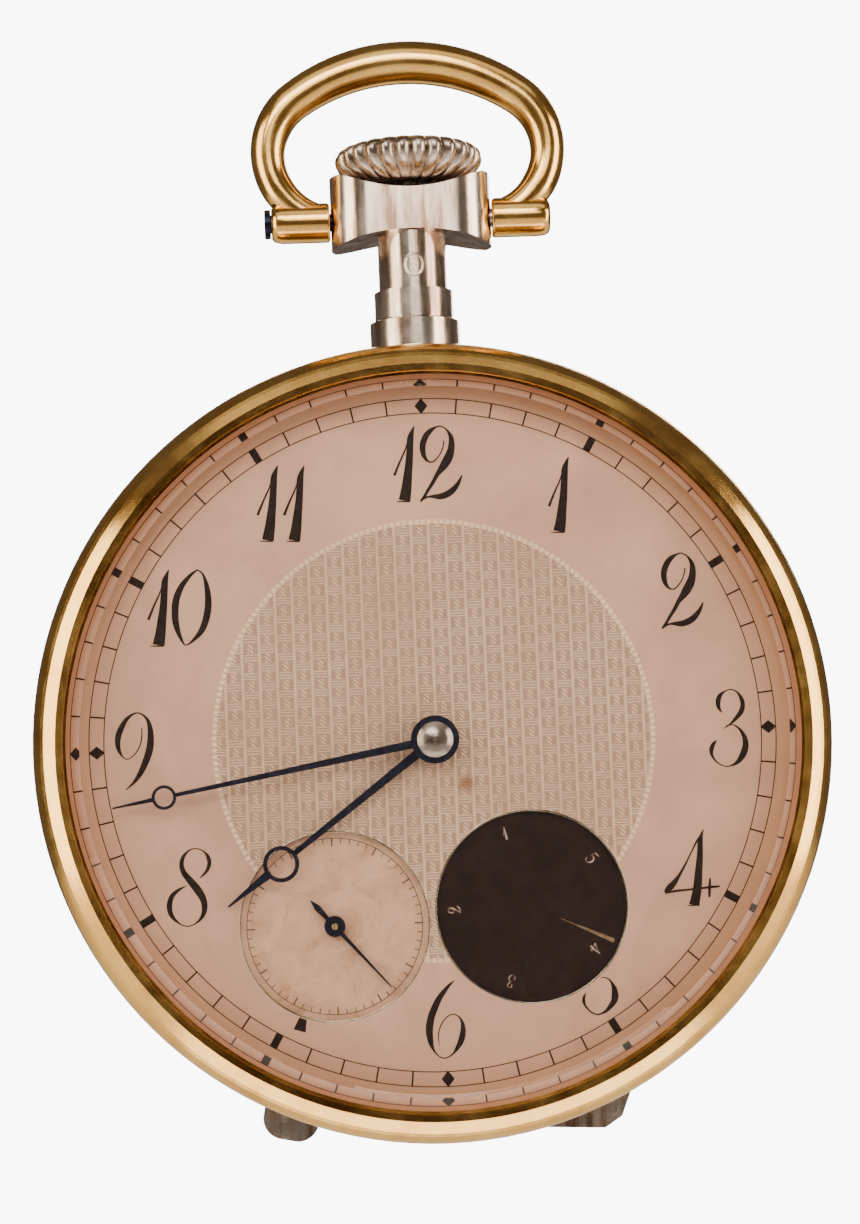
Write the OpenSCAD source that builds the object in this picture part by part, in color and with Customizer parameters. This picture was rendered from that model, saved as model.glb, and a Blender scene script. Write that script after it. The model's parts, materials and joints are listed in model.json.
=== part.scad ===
// Open face pocket watch: case, bow, winding crown, dial, hands and the whole going movement.
// Frame: the dial faces -Y, twelve o'clock is +Z and three o'clock is +X.
// The origin is the centre of the flat on the case back, on the axis of the hands.
// Most parts are drawn lying down, with their height h counted from the case back towards
// the glass, and in_case() stands them up.

/* [Case] */
// Outer diameter of the bezel
case_d = 50; // [49:0.5:52]
// Thickness from the flat of the back to the top of the glass
case_h = 12.6; // [12.6:0.1:13.4]
// Diameter of the flat on the case back
back_flat_d = 36; // [30:1:38]
// Wall of the back cover
back_t = 0.55; // [0.45:0.05:0.6]
// Greatest opening of the bezel under the glass
bezel_opening_d = 45.4; // [45:0.1:45.6]
// Height of the 45 degree bevel on the glass
glass_bevel = 1.1; // [0.8:0.1:1.2]

/* [Pendant, bow and crown] */
// Height of the bow's pivot above the bezel
pivot_rise = 8.8; // [8.6:0.1:9.1]
// Width of the pendant's head
head_w = 10.4; // [10:0.1:10.6]
// Diameter of the bow's wire
bow_wire_d = 2.8; // [2.5:0.1:2.9]
// Overall width of the bow
bow_w = 21; // [20.6:0.1:21.4]
// Diameter of the crown over its flutes
crown_d = 9.6; // [9:0.1:9.8]
// Number of flutes on the crown
crown_flutes = 26; // [20:1:32]
// Travel of the crown from winding to setting
crown_pull = 1.2; // [0.8:0.1:1.4]

/* [Dial] */
// Diameter of the dial plate
dial_d = 45.2; // [45:0.1:45.4]
// Thickness of the dial plate
dial_t = 0.4; // [0.3:0.05:0.4]
// Diameter of the cut-out over the seconds dial
seconds_d = 11.8; // [11:0.1:11.9]
// Diameter of the turning counter disc
counter_d = 11.9; // [11:0.1:12]

/* [Hands] */
// Reach of the minute hand
minute_reach = 20.45; // [18:0.05:21]
// Reach of the hour hand
hour_reach = 16.5; // [14:0.1:17]
// Reach of the seconds hand
seconds_reach = 5.15; // [4:0.05:5.3]
// Clockwise angle of the minute hand from twelve
minute_angle = 260.2; // [0:0.1:360]
// Clockwise angle of the hour hand from twelve
hour_angle = 233.3; // [0:0.1:360]
// Clockwise angle of the seconds hand from twelve
seconds_angle = 138.9; // [0:0.1:360]

/* [Running fits] */
// Radial clearance of arbors and hinges
run = 0.04; // [0.02:0.01:0.06]

/* [Hidden] */
$fn = 64;
// a cut runs this far past the face it opens
eps = 0.02;

// --- heights above the case back ---
cuvette_h = 1.3;
cuvette_t = 0.4;
split_h = 2.85;
band_top = 8.3;
stem_h = 5.6;
bridge_h = 2.55;
bridge_t = 1;
under_bridge = bridge_h + bridge_t;
centre_wheel_h = 3.68;
fourth_wheel_h = 3.76;
third_wheel_h = 4.6;
lever_h = 5.3;
barrel_h = 4.05;
barrel_teeth_h = 5.35;
plate_h = 6.2;
plate_t = 1.7;
plate_top = plate_h + plate_t;
motion_h = plate_top + 0.08;
hour_wheel_h = motion_h + 0.32;
wheel_t = 0.24;
dial_h = 8.65;
dial_top = dial_h + dial_t;
hour_hand_h = 9.5;
minute_hand_h = 9.95;
hand_t = 0.16;
glass_h = 11.2;
bezel_top = 11.9;

// --- case radii ---
case_r = case_d / 2;
band_r = 24.3;
band_bulge = 24.7;
movement_r = 21.1;
tenon_r = 23.5;
front_tenon_r = 23.7;
dial_seat_r = dial_d / 2 + 0.15;
glass_r = 23;
plate_r = 20.9;
bridge_r = 20.4;
cuvette_r = 23.1;

// --- hinge of the two back covers, under six o'clock ---
hinge_z = -24.2;
hinge_r = 0.52;
hinge_pin_r = 0.25;
knuckle_w = 1.9;
hinge_w = 5 * knuckle_w;
hinge_gap = 0.06;

// --- pendant ---
case_top = case_r;
pivot_z = case_top + pivot_rise;
head_low = pivot_z - 1.9;
head_high = pivot_z + 2.8;
head_dip = 1.1;
neck_r = 2.22;
ring_r = [2.9, 2.55];
head_depth = 5;
stem_r = 0.6;
pendant_bore = 1.3;
bow_pin_r = 0.58;
tube_r = 1.3;
bow_screw_head_r = 0.95;
tube_in = head_w / 2 + 0.05;
tube_out = 9.05;
crown_low = head_high - head_dip + 0.35;
crown_top = crown_low + 2.8;

// --- movement, seen from the dial: x to three, y to twelve ---
centre = [0, 0];
barrel_at = [8.31, 4.8];
seconds_at = [-6.67, -11.37];
counter_at = [5.68, -10.64];
crown_wheel_at = [0, 12];
minute_wheel_at = [0, 3.2];
// teeth: wheel and pinion of each pair, with the module
m_barrel = norm(barrel_at) * 2 / (70 + 10);
centre_third = 7.2;
m_third = centre_third * 2 / (64 + 8);
third_fourth = 6.25;
m_fourth = third_fourth * 2 / (60 + 8);
m_escape = 0.135;
fourth_escape = m_escape * (70 + 7) / 2;
third_at = meet(centre, centre_third, seconds_at, third_fourth);
escape_at = seconds_at + [fourth_escape, 0];
pallet_at = escape_at + [3.25, 0];
balance_at = pallet_at + [3.65, 0];
m_motion = 2 * 3.2 / (30 + 10);
m_setting = m_motion;
setting_wheel_at = minute_wheel_at + [0, m_setting * (30 + 56) / 2];
m_counter = 0.216;
idler_teeth = 42;
idler_at = meet(counter_at, m_counter * (50 + idler_teeth) / 2,
                barrel_at, m_counter * (10 + idler_teeth) / 2);
crown_teeth = 36;
ratchet_teeth = 52;
m_ratchet = norm(crown_wheel_at - barrel_at) * 2 / (crown_teeth + ratchet_teeth);

barrel_r = 7.95;
balance_r = 5.4;
arbor_r = 0.3;
pivot_r = 0.12;
pivot_l = 0.5;
jewel_r = 0.7;
jewel_t = 0.5;
jewel_sink = 0.05;

// --- keyless work along the stem, as heights above the movement's centre ---
sliding_z = 14.6;
sliding_l = 1.6;
winding_z = 16.3;
winding_l = 1.4;
groove_z = 18.2;
groove_l = 0.5;
stem_foot_z = 12.4;
square_top_z = sliding_z + sliding_l + 0.05;
lever_pivot = [-3.6, 18.25];
yoke_pivot = [-5.4, 14.4];
yoke_tip = [-1.3, sliding_z + 0.8];
lever_tip = [-0.75, groove_z + groove_l / 2];
key_h = plate_top + 0.08;
key_t = 0.24;
yoke_h = key_h + 0.32;

// bridge pillars and the screws that pass through them
barrel_pillars = [[-12, 9], [-7.4, 16.6], [10.6, 15.4], [18.3, -1.4]];
train_pillars = [[-14.6, -3.6], [-13.1, -13.2], [-2.2, -18.6]];
balance_pillar = [14.2, -12.6];
pallet_pillar = [pallet_at[0] - 0.6, pallet_at[1] - 4.6];
pillar_r = 1.25;
screw_r = 0.45;
screw_head_r = 0.8;
case_screw_at = [[-20.05, 4.5], [19.7, -5.85]];
dial_feet_at = [[-16.4, 8.6], [15.6, 10], [0.6, -19]];

// the two rests under the case: a round bar and a tapered lug
rest_bar = [[-10.3, -23.3], [-9.4, -23.5]];
rest_bar_r = 1.3;
rest_lug = [[4.6, -23.3], [5.3, -24.55], [9.9, -24.8], [11, -24.1], [11.6, -22.6], [9, -21]];

// ---------- functions ----------

// the point at distance ra from a and rb from b, on the left of the way from a to b
function meet(a, ra, b, rb) =
  let (d = norm(b - a), u = (b - a) / d, k = (ra * ra - rb * rb + d * d) / (2 * d),
       s = sqrt(max(0, ra * ra - k * k)))
  a + k * u + s * [u[1], -u[0]];

// direction from a to b, in degrees
function way(a, b) = atan2(b[1] - a[1], b[0] - a[0]);

// a point at radius r and angle a
function polar(r, a) = [r * cos(a), r * sin(a)];

// one tooth as radius and angle pairs: root, pitch line and tip, up and down again
function tooth(n, m, t) =
  let (rp = n * m / 2, p = 360 / n,
       flank = [[rp - t[2] * m, t[4] * t[0]], [rp, t[0]], [rp + t[1] * m, t[3]]])
  concat([for (f = flank) [f[0], -f[1] * p / 2]],
         [for (i = [2:-1:0]) [flank[i][0], flank[i][1] * p / 2]]);

// tooth proportions: width at the pitch line, addendum, dedendum, width at the tip, root factor
wheel_tooth = [0.44, 0.85, 1.35, 0.16, 1.1];
leaf_tooth = [0.34, 0.6, 1.3, 0.14, 0.62];

function outline(n, m, t) =
  [for (i = [0:n - 1], q = tooth(n, m, t)) polar(q[0], q[1] + i * 360 / n)];

// a circular arc as points
function arc(c, r, a0, a1, n) = [for (i = [0:n]) c + polar(r, a0 + (a1 - a0) * i / n)];

// ---------- shared shapes ----------

// stand a lying part up, h above the case back
module in_case(h = 0) rotate([90, 0, 0]) translate([0, 0, h]) children();

module at(p) translate([p[0], p[1], 0]) children();

module disc(r, h0, h1) translate([0, 0, h0]) cylinder(r = r, h = h1 - h0);

module ring(ro, ri, h0, h1) translate([0, 0, h0]) difference() {
  cylinder(r = ro, h = h1 - h0);
  translate([0, 0, -eps]) cylinder(r = ri, h = h1 - h0 + 2 * eps);
}

// a gear with teeth at the angle phase, a hub hole and crossed-out windows
module gear(n, m, t, h0, th, hole, phase, spokes = 0) {
  root = n * m / 2 - t[2] * m;
  translate([0, 0, h0]) linear_extrude(th) difference() {
    rotate(phase) polygon(outline(n, m, t));
    circle(hole);
    if (spokes > 0) windows(root - 0.5, max(hole + 0.55, 0.16 * root), spokes, 0.16 * root);
  }
}

// the windows between the spokes of a crossed-out wheel
module windows(ro, ri, spokes, w) difference() {
  circle(ro);
  circle(ri);
  for (i = [0:spokes - 1]) rotate(i * 360 / spokes) translate([0, -w / 2]) square([ro + 1, w]);
}

module wheel(n, m, h0, hole, phase, spokes = 5) gear(n, m, wheel_tooth, h0, wheel_t, hole, phase, spokes);

module pinion(n, m, h0, h1, hole, phase) gear(n, m, leaf_tooth, h0, h1 - h0, hole, phase);

// an arbor between shoulders h0 and h1, with a pivot at each end
module arbor(h0, h1, r = arbor_r) {
  disc(r, h0, h1);
  disc(pivot_r, h0 - pivot_l, h1 + pivot_l);
}

// a bar with round ends between two points
module bar(a, b, r) {
  at(a) circle(r);
  at(b) circle(r);
  at(a) rotate(way(a, b)) translate([0, -r]) square([norm(b - a), 2 * r]);
}

// a slotted screw head on a shank, the head towards the back
module screw(h_head, head_t, h_end, r = screw_r, head = screw_head_r) difference() {
  union() {
    disc(head, h_head, h_head + head_t);
    disc(r, h_head + head_t - eps, h_end);
  }
  translate([-head - 1, -0.09, h_head - eps]) cube([2 * head + 2, 0.18, head_t * 0.5 + eps]);
}

// ---------- case ----------

// outside of the case middle, from its back shoulder to its front shoulder
function band_side() =
  let (mid = (split_h + band_top) / 2, half = (band_top - split_h) / 2, b = band_bulge - band_r,
       r = (half * half + b * b) / (2 * b), a = asin(half / r))
  arc([band_bulge - r, mid], r, -a, a, 14);

module band_solid() rotate_extrude($fn = 128)
  polygon(concat([[0, split_h]], band_side(), [[0, band_top]]));

// room for the knuckles, from height h0 to h1
module hinge_slot(h0, h1) translate([-hinge_w / 2 - hinge_gap, hinge_z - 3, h0])
  cube([hinge_w + 2 * hinge_gap, 3 + hinge_r + 0.12, h1 - h0]);

// one hinge knuckle, as the numbered fifth of the hinge's width, with its bore
// and an arm from height h0 to h1 that reaches up to y1
module knuckle(i, bore, h0, h1, y1) {
  x0 = -hinge_w / 2 + i * knuckle_w + hinge_gap / 2;
  w = knuckle_w - hinge_gap;
  difference() {
    union() {
      translate([x0, hinge_z, split_h]) rotate([0, 90, 0]) cylinder(r = hinge_r, h = w);
      translate([x0, hinge_z, h0]) cube([w, y1 - hinge_z, h1 - h0]);
    }
    translate([x0 - 1, hinge_z, split_h]) rotate([0, 90, 0]) cylinder(r = bore, h = w + 2);
  }
}

module case_band() color("goldenrod") in_case() difference() {
  union() {
    difference() {
      union() {
        rotate_extrude($fn = 128) difference() {
          polygon(concat([[movement_r - 1, split_h]], band_side(), [[movement_r - 1, band_top]]));
          translate([0, split_h - 1]) square([movement_r, band_top]);
        }
        ring(tenon_r, movement_r, 1.95, split_h + eps);
        ring(front_tenon_r, movement_r, band_top - eps, dial_top - 0.1);
      }
      disc(dial_seat_r, dial_h, case_h);
      hinge_slot(split_h - hinge_r - 0.12, split_h + hinge_r + 0.12);
    }
    for (i = [1, 3]) knuckle(i, hinge_pin_r, split_h, split_h + 1.4, -22.6);
  }
  // way for the stem
  translate([0, movement_r - 2, stem_h]) rotate([-90, 0, 0]) cylinder(r = pendant_bore, h = 8);
  for (p = case_screw_at) at(p) disc(screw_head_r + 0.1, -1, plate_h);
}

module bezel() color("gold") in_case() rotate_extrude($fn = 128) {
  // skirt and rounded gold rim, with the seat that holds the glass
  polygon(concat(
    [[front_tenon_r + 0.06, band_top + 0.03]],
    [[band_r + 0.1, band_top + 0.03]],
    arc([case_r - 1.9, 9.9], 1.9, -35, 62, 12),
    [[glass_r + 0.45, bezel_top], [glass_r + 0.02, bezel_top - 0.45],
     [glass_r + 0.02, glass_h], [bezel_opening_d / 2, glass_h],
     [bezel_opening_d / 2, dial_top + 0.06], [front_tenon_r + 0.06, dial_top + 0.06]]
  ));
}

module crystal() color("aliceblue", 0.4) in_case() rotate_extrude($fn = 128)
  polygon([[0, glass_h + 0.01], [glass_r, glass_h + 0.01], [glass_r, case_h - glass_bevel],
           [glass_r - glass_bevel, case_h], [0, case_h]]);

// shell of the back: a flat, a shallow sweep out to a rounded edge, and a short wall
module back_cover() color("goldenrod") in_case() {
  flat = back_flat_d / 2;
  rise = 0.85;
  edge = band_r - 0.3;
  rad = ((edge - flat) * (edge - flat) + rise * rise) / (2 * rise);
  sweep = asin((edge - flat) / rad);
  wall = tenon_r + 0.08;
  inner_sweep = asin((wall - flat) / (rad - back_t));
  difference() {
    rotate_extrude($fn = 128) polygon(concat(
      [[0, 0]],
      arc([flat, rad], rad, -90, -90 + sweep, 12),
      [[band_r, rise + 0.35], [band_r, split_h - 0.03], [wall, split_h - 0.03]],
      arc([flat, rad], rad - back_t, -90 + inner_sweep, -90, 10),
      [[0, back_t]]
    ));
    hinge_slot(1.5, split_h + 1);
    // room for the dust cover's tongue
    translate([-knuckle_w / 2 - hinge_gap, hinge_z - 3, cuvette_h - 0.1])
      cube([knuckle_w + 2 * hinge_gap, 4.2, 3]);
  }
  for (i = [0, 4]) knuckle(i, hinge_pin_r + run, 1.2, split_h, hinge_z + 0.55);
}

// inner dust cover, resting on the case middle
module dust_cover() color("silver") in_case() {
  disc(cuvette_r, cuvette_h, cuvette_h + cuvette_t);
  knuckle(2, hinge_pin_r + run, cuvette_h, split_h, hinge_z + 0.5);
  translate([-knuckle_w / 2 + hinge_gap / 2, hinge_z, cuvette_h]) cube([knuckle_w - hinge_gap, 2, cuvette_t]);
}

module hinge_pin() color("silver") in_case()
  translate([-hinge_w / 2, hinge_z, split_h]) rotate([0, 90, 0]) cylinder(r = hinge_pin_r, h = hinge_w);

// two rests under the case middle, on which the watch stands upright
module stand_feet() color("silver") in_case() difference() {
  translate([0, 0, stem_h - 1.7]) linear_extrude(3.4) union() {
    bar(rest_bar[0], rest_bar[1], rest_bar_r);
    polygon(rest_lug);
  }
  band_solid();
}

// case screws: their heads overlap the case middle and hold the plate against it
module case_screws() color("steelblue") in_case() for (p = case_screw_at)
  at(p) screw(plate_h - 0.45, 0.45, plate_h + 1.4, 0.35, screw_head_r);

// ---------- pendant, bow, crown ----------

// the pendant stands on the stem's axis
module on_stem() translate([0, -stem_h, 0]) children();

module head_plan() intersection() {
  for (s = [-1, 1]) translate([s * (head_w - head_depth) / 2, 0]) circle(head_depth / 2);
  square([head_w, head_depth], center = true);
}

module pendant() color("silver") on_stem() difference() {
  union() {
    // head: round-ended in plan, scooped above and below
    intersection() {
      translate([0, 0, head_low]) linear_extrude(head_high - head_low) union() {
        head_plan();
        square([head_w - head_depth, head_depth], center = true);
      }
      difference() {
        translate([-head_w, -head_w, head_low]) cube([2 * head_w, 2 * head_w, head_high - head_low]);
        translate([0, head_w, head_high + 9.2]) rotate([90, 0, 0]) cylinder(r = 10.3, h = 2 * head_w);
        translate([0, head_w, head_low - 13.1]) rotate([90, 0, 0]) cylinder(r = 14, h = 2 * head_w);
      }
    }
    translate([0, 0, case_top - 1.2]) cylinder(r = neck_r, h = head_high - head_dip - case_top);
    translate([0, 0, case_top - 1.4]) cylinder(r = ring_r[0], h = 3.4);
    translate([0, 0, case_top + 2.15]) cylinder(r = ring_r[1], h = 1.85);
  }
  // stem way, counterbored for the crown's hub
  translate([0, 0, case_top - 3]) cylinder(r = pendant_bore, h = 14);
  translate([0, 0, head_high - 3.4]) cylinder(r = 1.75, h = 4);
  // pin holes for the bow
  for (s = [-1, 1]) translate([s * head_w / 2, 0, pivot_z]) rotate([0, 90, 0])
    cylinder(r = bow_pin_r, h = 4, center = true);
  // seats on the case middle, clear of the bezel and the back cover
  translate([0, stem_h, 0]) in_case() {
    band_solid();
    disc(case_r + 0.12, band_top - 0.05, case_h);
    disc(band_r + 0.12, -1, split_h + 0.05);
  }
}

module pendant_sleeve() color("slategray") on_stem() difference() {
  translate([0, 0, case_top + 0.5]) cylinder(r = pendant_bore, h = 6.5);
  translate([0, 0, case_top]) cylinder(r = stem_r + run, h = 9);
}

bow_side_r = 4.4;
bow_side_x = bow_w / 2 - bow_wire_d / 2 - bow_side_r;
bow_side_z = pivot_z + 4.5;
bow_top_z = pivot_z + 10.4;
bow_u = (bow_side_x * bow_side_x - pow(bow_top_z - bow_side_z - bow_side_r, 2))
        / (2 * (bow_top_z - bow_side_z - bow_side_r));
bow_top_r = bow_top_z - bow_side_z + bow_u;
bow_lean = atan2(bow_side_x, bow_u);

// part of a ring of wire standing in the XZ plane, from angle a0 up to a1
module wire_arc(r, a0, a1) rotate([90, 0, 0]) rotate(a0)
  rotate_extrude(angle = a1 - a0) translate([r, 0]) circle(bow_wire_d / 2);

module bow() color("gold") on_stem() difference() {
  union() {
    translate([0, 0, bow_side_z - bow_u]) wire_arc(bow_top_r, 90 - bow_lean, 90 + bow_lean);
    for (s = [0, 1]) mirror([s, 0, 0]) {
      translate([bow_side_x, 0, bow_side_z]) wire_arc(bow_side_r, -66, 90 - bow_lean);
      translate([tube_in, 0, pivot_z]) rotate([0, 90, 0]) cylinder(r = tube_r, h = tube_out - tube_in);
    }
  }
  translate([-tube_out - 1, 0, pivot_z]) rotate([0, 90, 0]) cylinder(r = bow_pin_r + run, h = 7);
  translate([tube_in - 1, 0, pivot_z]) rotate([0, 90, 0]) cylinder(r = bow_pin_r + run, h = 4);
  // spot face for the screw's head
  translate([-tube_out - 2, 0, pivot_z]) rotate([0, 90, 0]) cylinder(r = bow_screw_head_r + 0.1, h = 2);
}

module bow_screw() color("dimgray") on_stem() difference() {
  union() {
    translate([-tube_out - 0.03, 0, pivot_z]) rotate([0, 90, 0]) cylinder(r = bow_pin_r, h = 5.2);
    translate([-tube_out - 0.43, 0, pivot_z]) rotate([0, 90, 0]) cylinder(r = bow_screw_head_r, h = 0.4);
  }
  translate([-tube_out - 0.63, -0.12, pivot_z - 2]) cube([0.4, 0.24, 4]);
}

module bow_pin() color("silver") on_stem()
  translate([head_w / 2 - 1.6, 0, pivot_z]) rotate([0, 90, 0]) cylinder(r = bow_pin_r, h = 4.4);

module crown() color("silver") on_stem() difference() {
  intersection() {
    rotate_extrude() polygon(concat(
      [[0, crown_low], [2.1, crown_low], [crown_d / 2 - 0.25, crown_low + 1]],
      arc([crown_d / 2 - 0.9, crown_low + 2], 0.9, -30, 75, 8),
      [[0, crown_top]]
    ));
    translate([0, 0, crown_low - 1]) linear_extrude(5) difference() {
      circle(crown_d / 2);
      for (i = [0:crown_flutes - 1]) rotate(i * 360 / crown_flutes + 180 / crown_flutes)
        translate([crown_d / 2 + 0.12, 0]) circle(0.46);
    }
  }
  translate([0, 0, crown_low - 1]) cylinder(r = stem_r, h = 2.6);
}

module winding_stem() color("lightsteelblue") on_stem() {
  translate([0, 0, groove_z + groove_l]) cylinder(r = stem_r, h = crown_low + 1.5 - groove_z - groove_l);
  translate([0, 0, groove_z - eps]) cylinder(r = 0.34, h = groove_l + 2 * eps);
  translate([0, 0, square_top_z]) cylinder(r = stem_r, h = groove_z - square_top_z);
  translate([-0.42, -0.42, stem_foot_z]) cube([0.84, 0.84, square_top_z - stem_foot_z + eps]);
}

// ---------- keyless work ----------

module stem_gear(n, r, cut, z, l) translate([0, 0, z]) linear_extrude(l) difference() {
  circle(r);
  for (i = [0:n - 1]) rotate((i + 0.5) * 360 / n)
    translate([r - cut, -r * 0.16]) square([cut + 1, r * 0.32]);
}

module winding_pinion() color("lightsteelblue") on_stem() difference() {
  stem_gear(12, 1.62, 0.5, winding_z, winding_l);
  translate([0, 0, winding_z - 1]) cylinder(r = stem_r + run, h = winding_l + 2);
}

module sliding_pinion() color("lightsteelblue") on_stem() difference() {
  union() {
    stem_gear(12, 1.5, 0.4, sliding_z, 0.5);
    translate([0, 0, sliding_z + 0.5 - eps]) cylinder(r = 0.85, h = 0.6 + 2 * eps);
    stem_gear(12, 1.5, 0.4, sliding_z + 1.1, 0.5);
  }
  translate([-0.46, -0.46, sliding_z - 1]) cube([0.92, 0.92, sliding_l + 2]);
}

module setting_lever() color("lightsteelblue") in_case() difference() {
  union() {
    translate([0, 0, key_h]) linear_extrude(key_t) union() {
      bar(lever_pivot, lever_tip, 0.42);
      bar(lever_pivot, lever_pivot + [-2.6, 0.9], 0.42);
    }
    at(lever_tip) disc(0.19, stem_h - 0.1, key_h + eps);
  }
  at(lever_pivot) disc(0.3 + run, key_h - 1, key_h + 1);
}

module yoke() color("lightsteelblue") in_case() difference() {
  union() {
    translate([0, 0, yoke_h]) linear_extrude(key_t) union() {
      bar(yoke_pivot, yoke_tip, 0.34);
      bar(yoke_pivot, yoke_pivot + [-1.9, 1.2], 0.34);
    }
    at(yoke_tip) disc(0.17, stem_h - 0.1, yoke_h + eps);
  }
  at(yoke_pivot) disc(0.3 + run, key_h - 1, key_h + 1);
}

module setting_wheel() color("lightsteelblue") in_case() at(setting_wheel_at)
  wheel(56, m_setting, motion_h, 0.4 + run, phase_after(
    minute_wheel_at, 30, 270, setting_wheel_at, 56), 5);

// phase of gear b (nb teeth) that meshes with gear a (na teeth, one tooth at angle pa)
function phase_after(a, na, pa, b, nb) =
  let (g = way(a, b)) g + 180 - (pa - g) * na / nb + 180 / nb;

// ---------- winding train on the back ----------

crown_phase = way(crown_wheel_at, barrel_at);

module crown_wheel() color("silver") in_case() at(crown_wheel_at) {
  gear(crown_teeth, m_ratchet, wheel_tooth, bridge_h - 0.45, 0.35, 1.7 + run, crown_phase);
}

// the fixed core that the crown wheel turns on, held by its own screw
module crown_wheel_core() color("steelblue") in_case() at(crown_wheel_at) difference() {
  disc(1.7, bridge_h - 0.5, bridge_h);
  translate([-2, -0.12, bridge_h - 0.6]) cube([4, 0.24, 0.3]);
}

module ratchet_wheel() color("silver") in_case() at(barrel_at)
  gear(ratchet_teeth, m_ratchet, wheel_tooth, bridge_h - 0.45, 0.35, 0.8,
       phase_after(crown_wheel_at, crown_teeth, crown_phase, barrel_at, ratchet_teeth));

module ratchet_screw() color("steelblue") in_case() at(barrel_at) difference() {
  union() {
    disc(1.3, bridge_h - 0.7, bridge_h - 0.45);
    disc(0.4, bridge_h - 0.47, bridge_h + 1.6);
  }
  translate([-2, -0.1, bridge_h - 0.8]) cube([4, 0.2, 0.22]);
}

module barrel_arbor() color("lightsteelblue") in_case() at(barrel_at) difference() {
  union() {
    disc(0.8, bridge_h - 0.45, barrel_h + 0.3);
    disc(1.5, barrel_h + 0.34, barrel_teeth_h - 0.06);
    disc(0.6, barrel_teeth_h - 0.1, plate_top + 0.2);
  }
  disc(0.4, bridge_h - 1, bridge_h + 1.6);
}

click_at = [16.6, 3];
ratchet_tip = ratchet_teeth * m_ratchet / 2 + 0.85 * m_ratchet;
click_beak = barrel_at + polar(ratchet_tip + 0.36, way(barrel_at, click_at) + 14);

module click() color("lightsteelblue") in_case() difference() {
  translate([0, 0, bridge_h - 0.45]) linear_extrude(0.35) union() {
    at(click_at) circle(0.9);
    bar(click_at, click_beak, 0.25);
    bar(click_at, click_at + [1.8, 0.5], 0.3);
  }
  at(click_at) disc(0.4 + run, 0, 5);
}

module click_spring() color("steelblue") in_case() translate([0, 0, bridge_h - 0.45]) linear_extrude(0.3)
  union() {
    intersection() {
      difference() {
        circle(19.9);
        circle(19.62);
      }
      polygon([[0, 0], polar(40, -2), polar(40, 14)]);
    }
    bar(polar(19.4, -2.5), polar(19.4, -2.5) + [0.1, 0], 0.7);
  }

// ---------- fixed movement parts ----------

// pillar under a bridge, down to the plate, with the way for its screw
module pillar(p, h0) at(p) disc(pillar_r, h0, plate_h);

module barrel_bridge_plan() intersection() {
  circle(bridge_r);
  polygon([[-21, 1.7], [3.4, 1.7], [3.4, -3.2], [21, -3.2], [21, 21], [-21, 21]]);
}

module barrel_bridge() color("gainsboro") in_case() difference() {
  union() {
    translate([0, 0, bridge_h]) linear_extrude(bridge_t) barrel_bridge_plan();
    for (p = barrel_pillars) pillar(p, under_bridge - eps);
    // posts for the click
    at(click_at) disc(0.4, bridge_h - 0.5, bridge_h + eps);
  }
  for (p = barrel_pillars) at(p) disc(screw_r, 0, 10);
  for (p = barrel_pillars) at(p) disc(screw_head_r + 0.05, 0, bridge_h + 0.35);
  for (p = case_screw_at) at(p) disc(screw_head_r + 0.1, 0, 10);
  at(barrel_at) disc(0.8 + run, 0, 10);
  // window over the winding pinion
  translate([-1.9, winding_z - 0.3, bridge_h + 0.4]) cube([3.8, winding_l + 0.6, 2]);
}

module train_bridge_plan() difference() {
  intersection() {
    circle(bridge_r);
    polygon([[-21, 1.3], [3, 1.3], [3, -3.4], [0.3, -5.8], [0.3, -21], [-21, -21]]);
  }
  at(balance_at) circle(balance_r + 0.5);
}

module train_bridge() color("gainsboro") in_case() difference() {
  union() {
    translate([0, 0, bridge_h]) linear_extrude(bridge_t) train_bridge_plan();
    for (p = train_pillars) pillar(p, under_bridge - eps);
  }
  for (p = train_pillars) at(p) disc(screw_r, 0, 10);
  for (p = train_pillars) at(p) disc(screw_head_r + 0.05, 0, bridge_h + 0.35);
  for (p = [centre, third_at, seconds_at, escape_at]) at(p) disc(jewel_r, 0, 10);
}

module pallet_cock() color("gainsboro") in_case() difference() {
  union() {
    translate([0, 0, 3.95]) linear_extrude(0.4) bar(pallet_pillar, pallet_at, 1);
    at(pallet_pillar) disc(1, 4.3, plate_h);
  }
  at(pallet_pillar) disc(0.3, 3, 10);
  at(pallet_at) disc(0.5, 3, 5);
}

module balance_cock() color("gainsboro") in_case() difference() {
  union() {
    translate([0, 0, 1.85]) linear_extrude(0.6) union() {
      bar(balance_pillar, balance_at, 1.6);
      at(balance_at) circle(2.1);
    }
    at(balance_pillar) disc(1.5, 2.4, plate_h);
  }
  at(balance_pillar) disc(screw_r, 0, 10);
  at(balance_pillar) disc(screw_head_r + 0.05, 0, 2.15);
  at(balance_at) disc(jewel_r, 0, 3);
}

module bridge_screws() color("steelblue") in_case() {
  for (p = concat(barrel_pillars, train_pillars)) at(p) screw(bridge_h - 0.05, 0.4, plate_h + 1.2);
  at(balance_pillar) screw(1.8, 0.35, plate_h + 1.2);
  at(pallet_pillar) screw(3.65, 0.3, plate_h + 1, 0.3, 0.6);
}

// one jewel: a ruby ring around a pivot
module jewel(h, r = jewel_r) ring(r, pivot_r + run, h, h + jewel_t);

module jewels() color("crimson") in_case() {
  for (p = [centre, third_at, seconds_at, escape_at]) at(p) jewel(under_bridge - jewel_t - jewel_sink);
  for (p = [third_at, escape_at, pallet_at, balance_at]) at(p) jewel(plate_h + jewel_sink);
  at(pallet_at) ring(0.5, pivot_r + run, 3.98, 4.32);
  at(balance_at) jewel(1.9);
}

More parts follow.
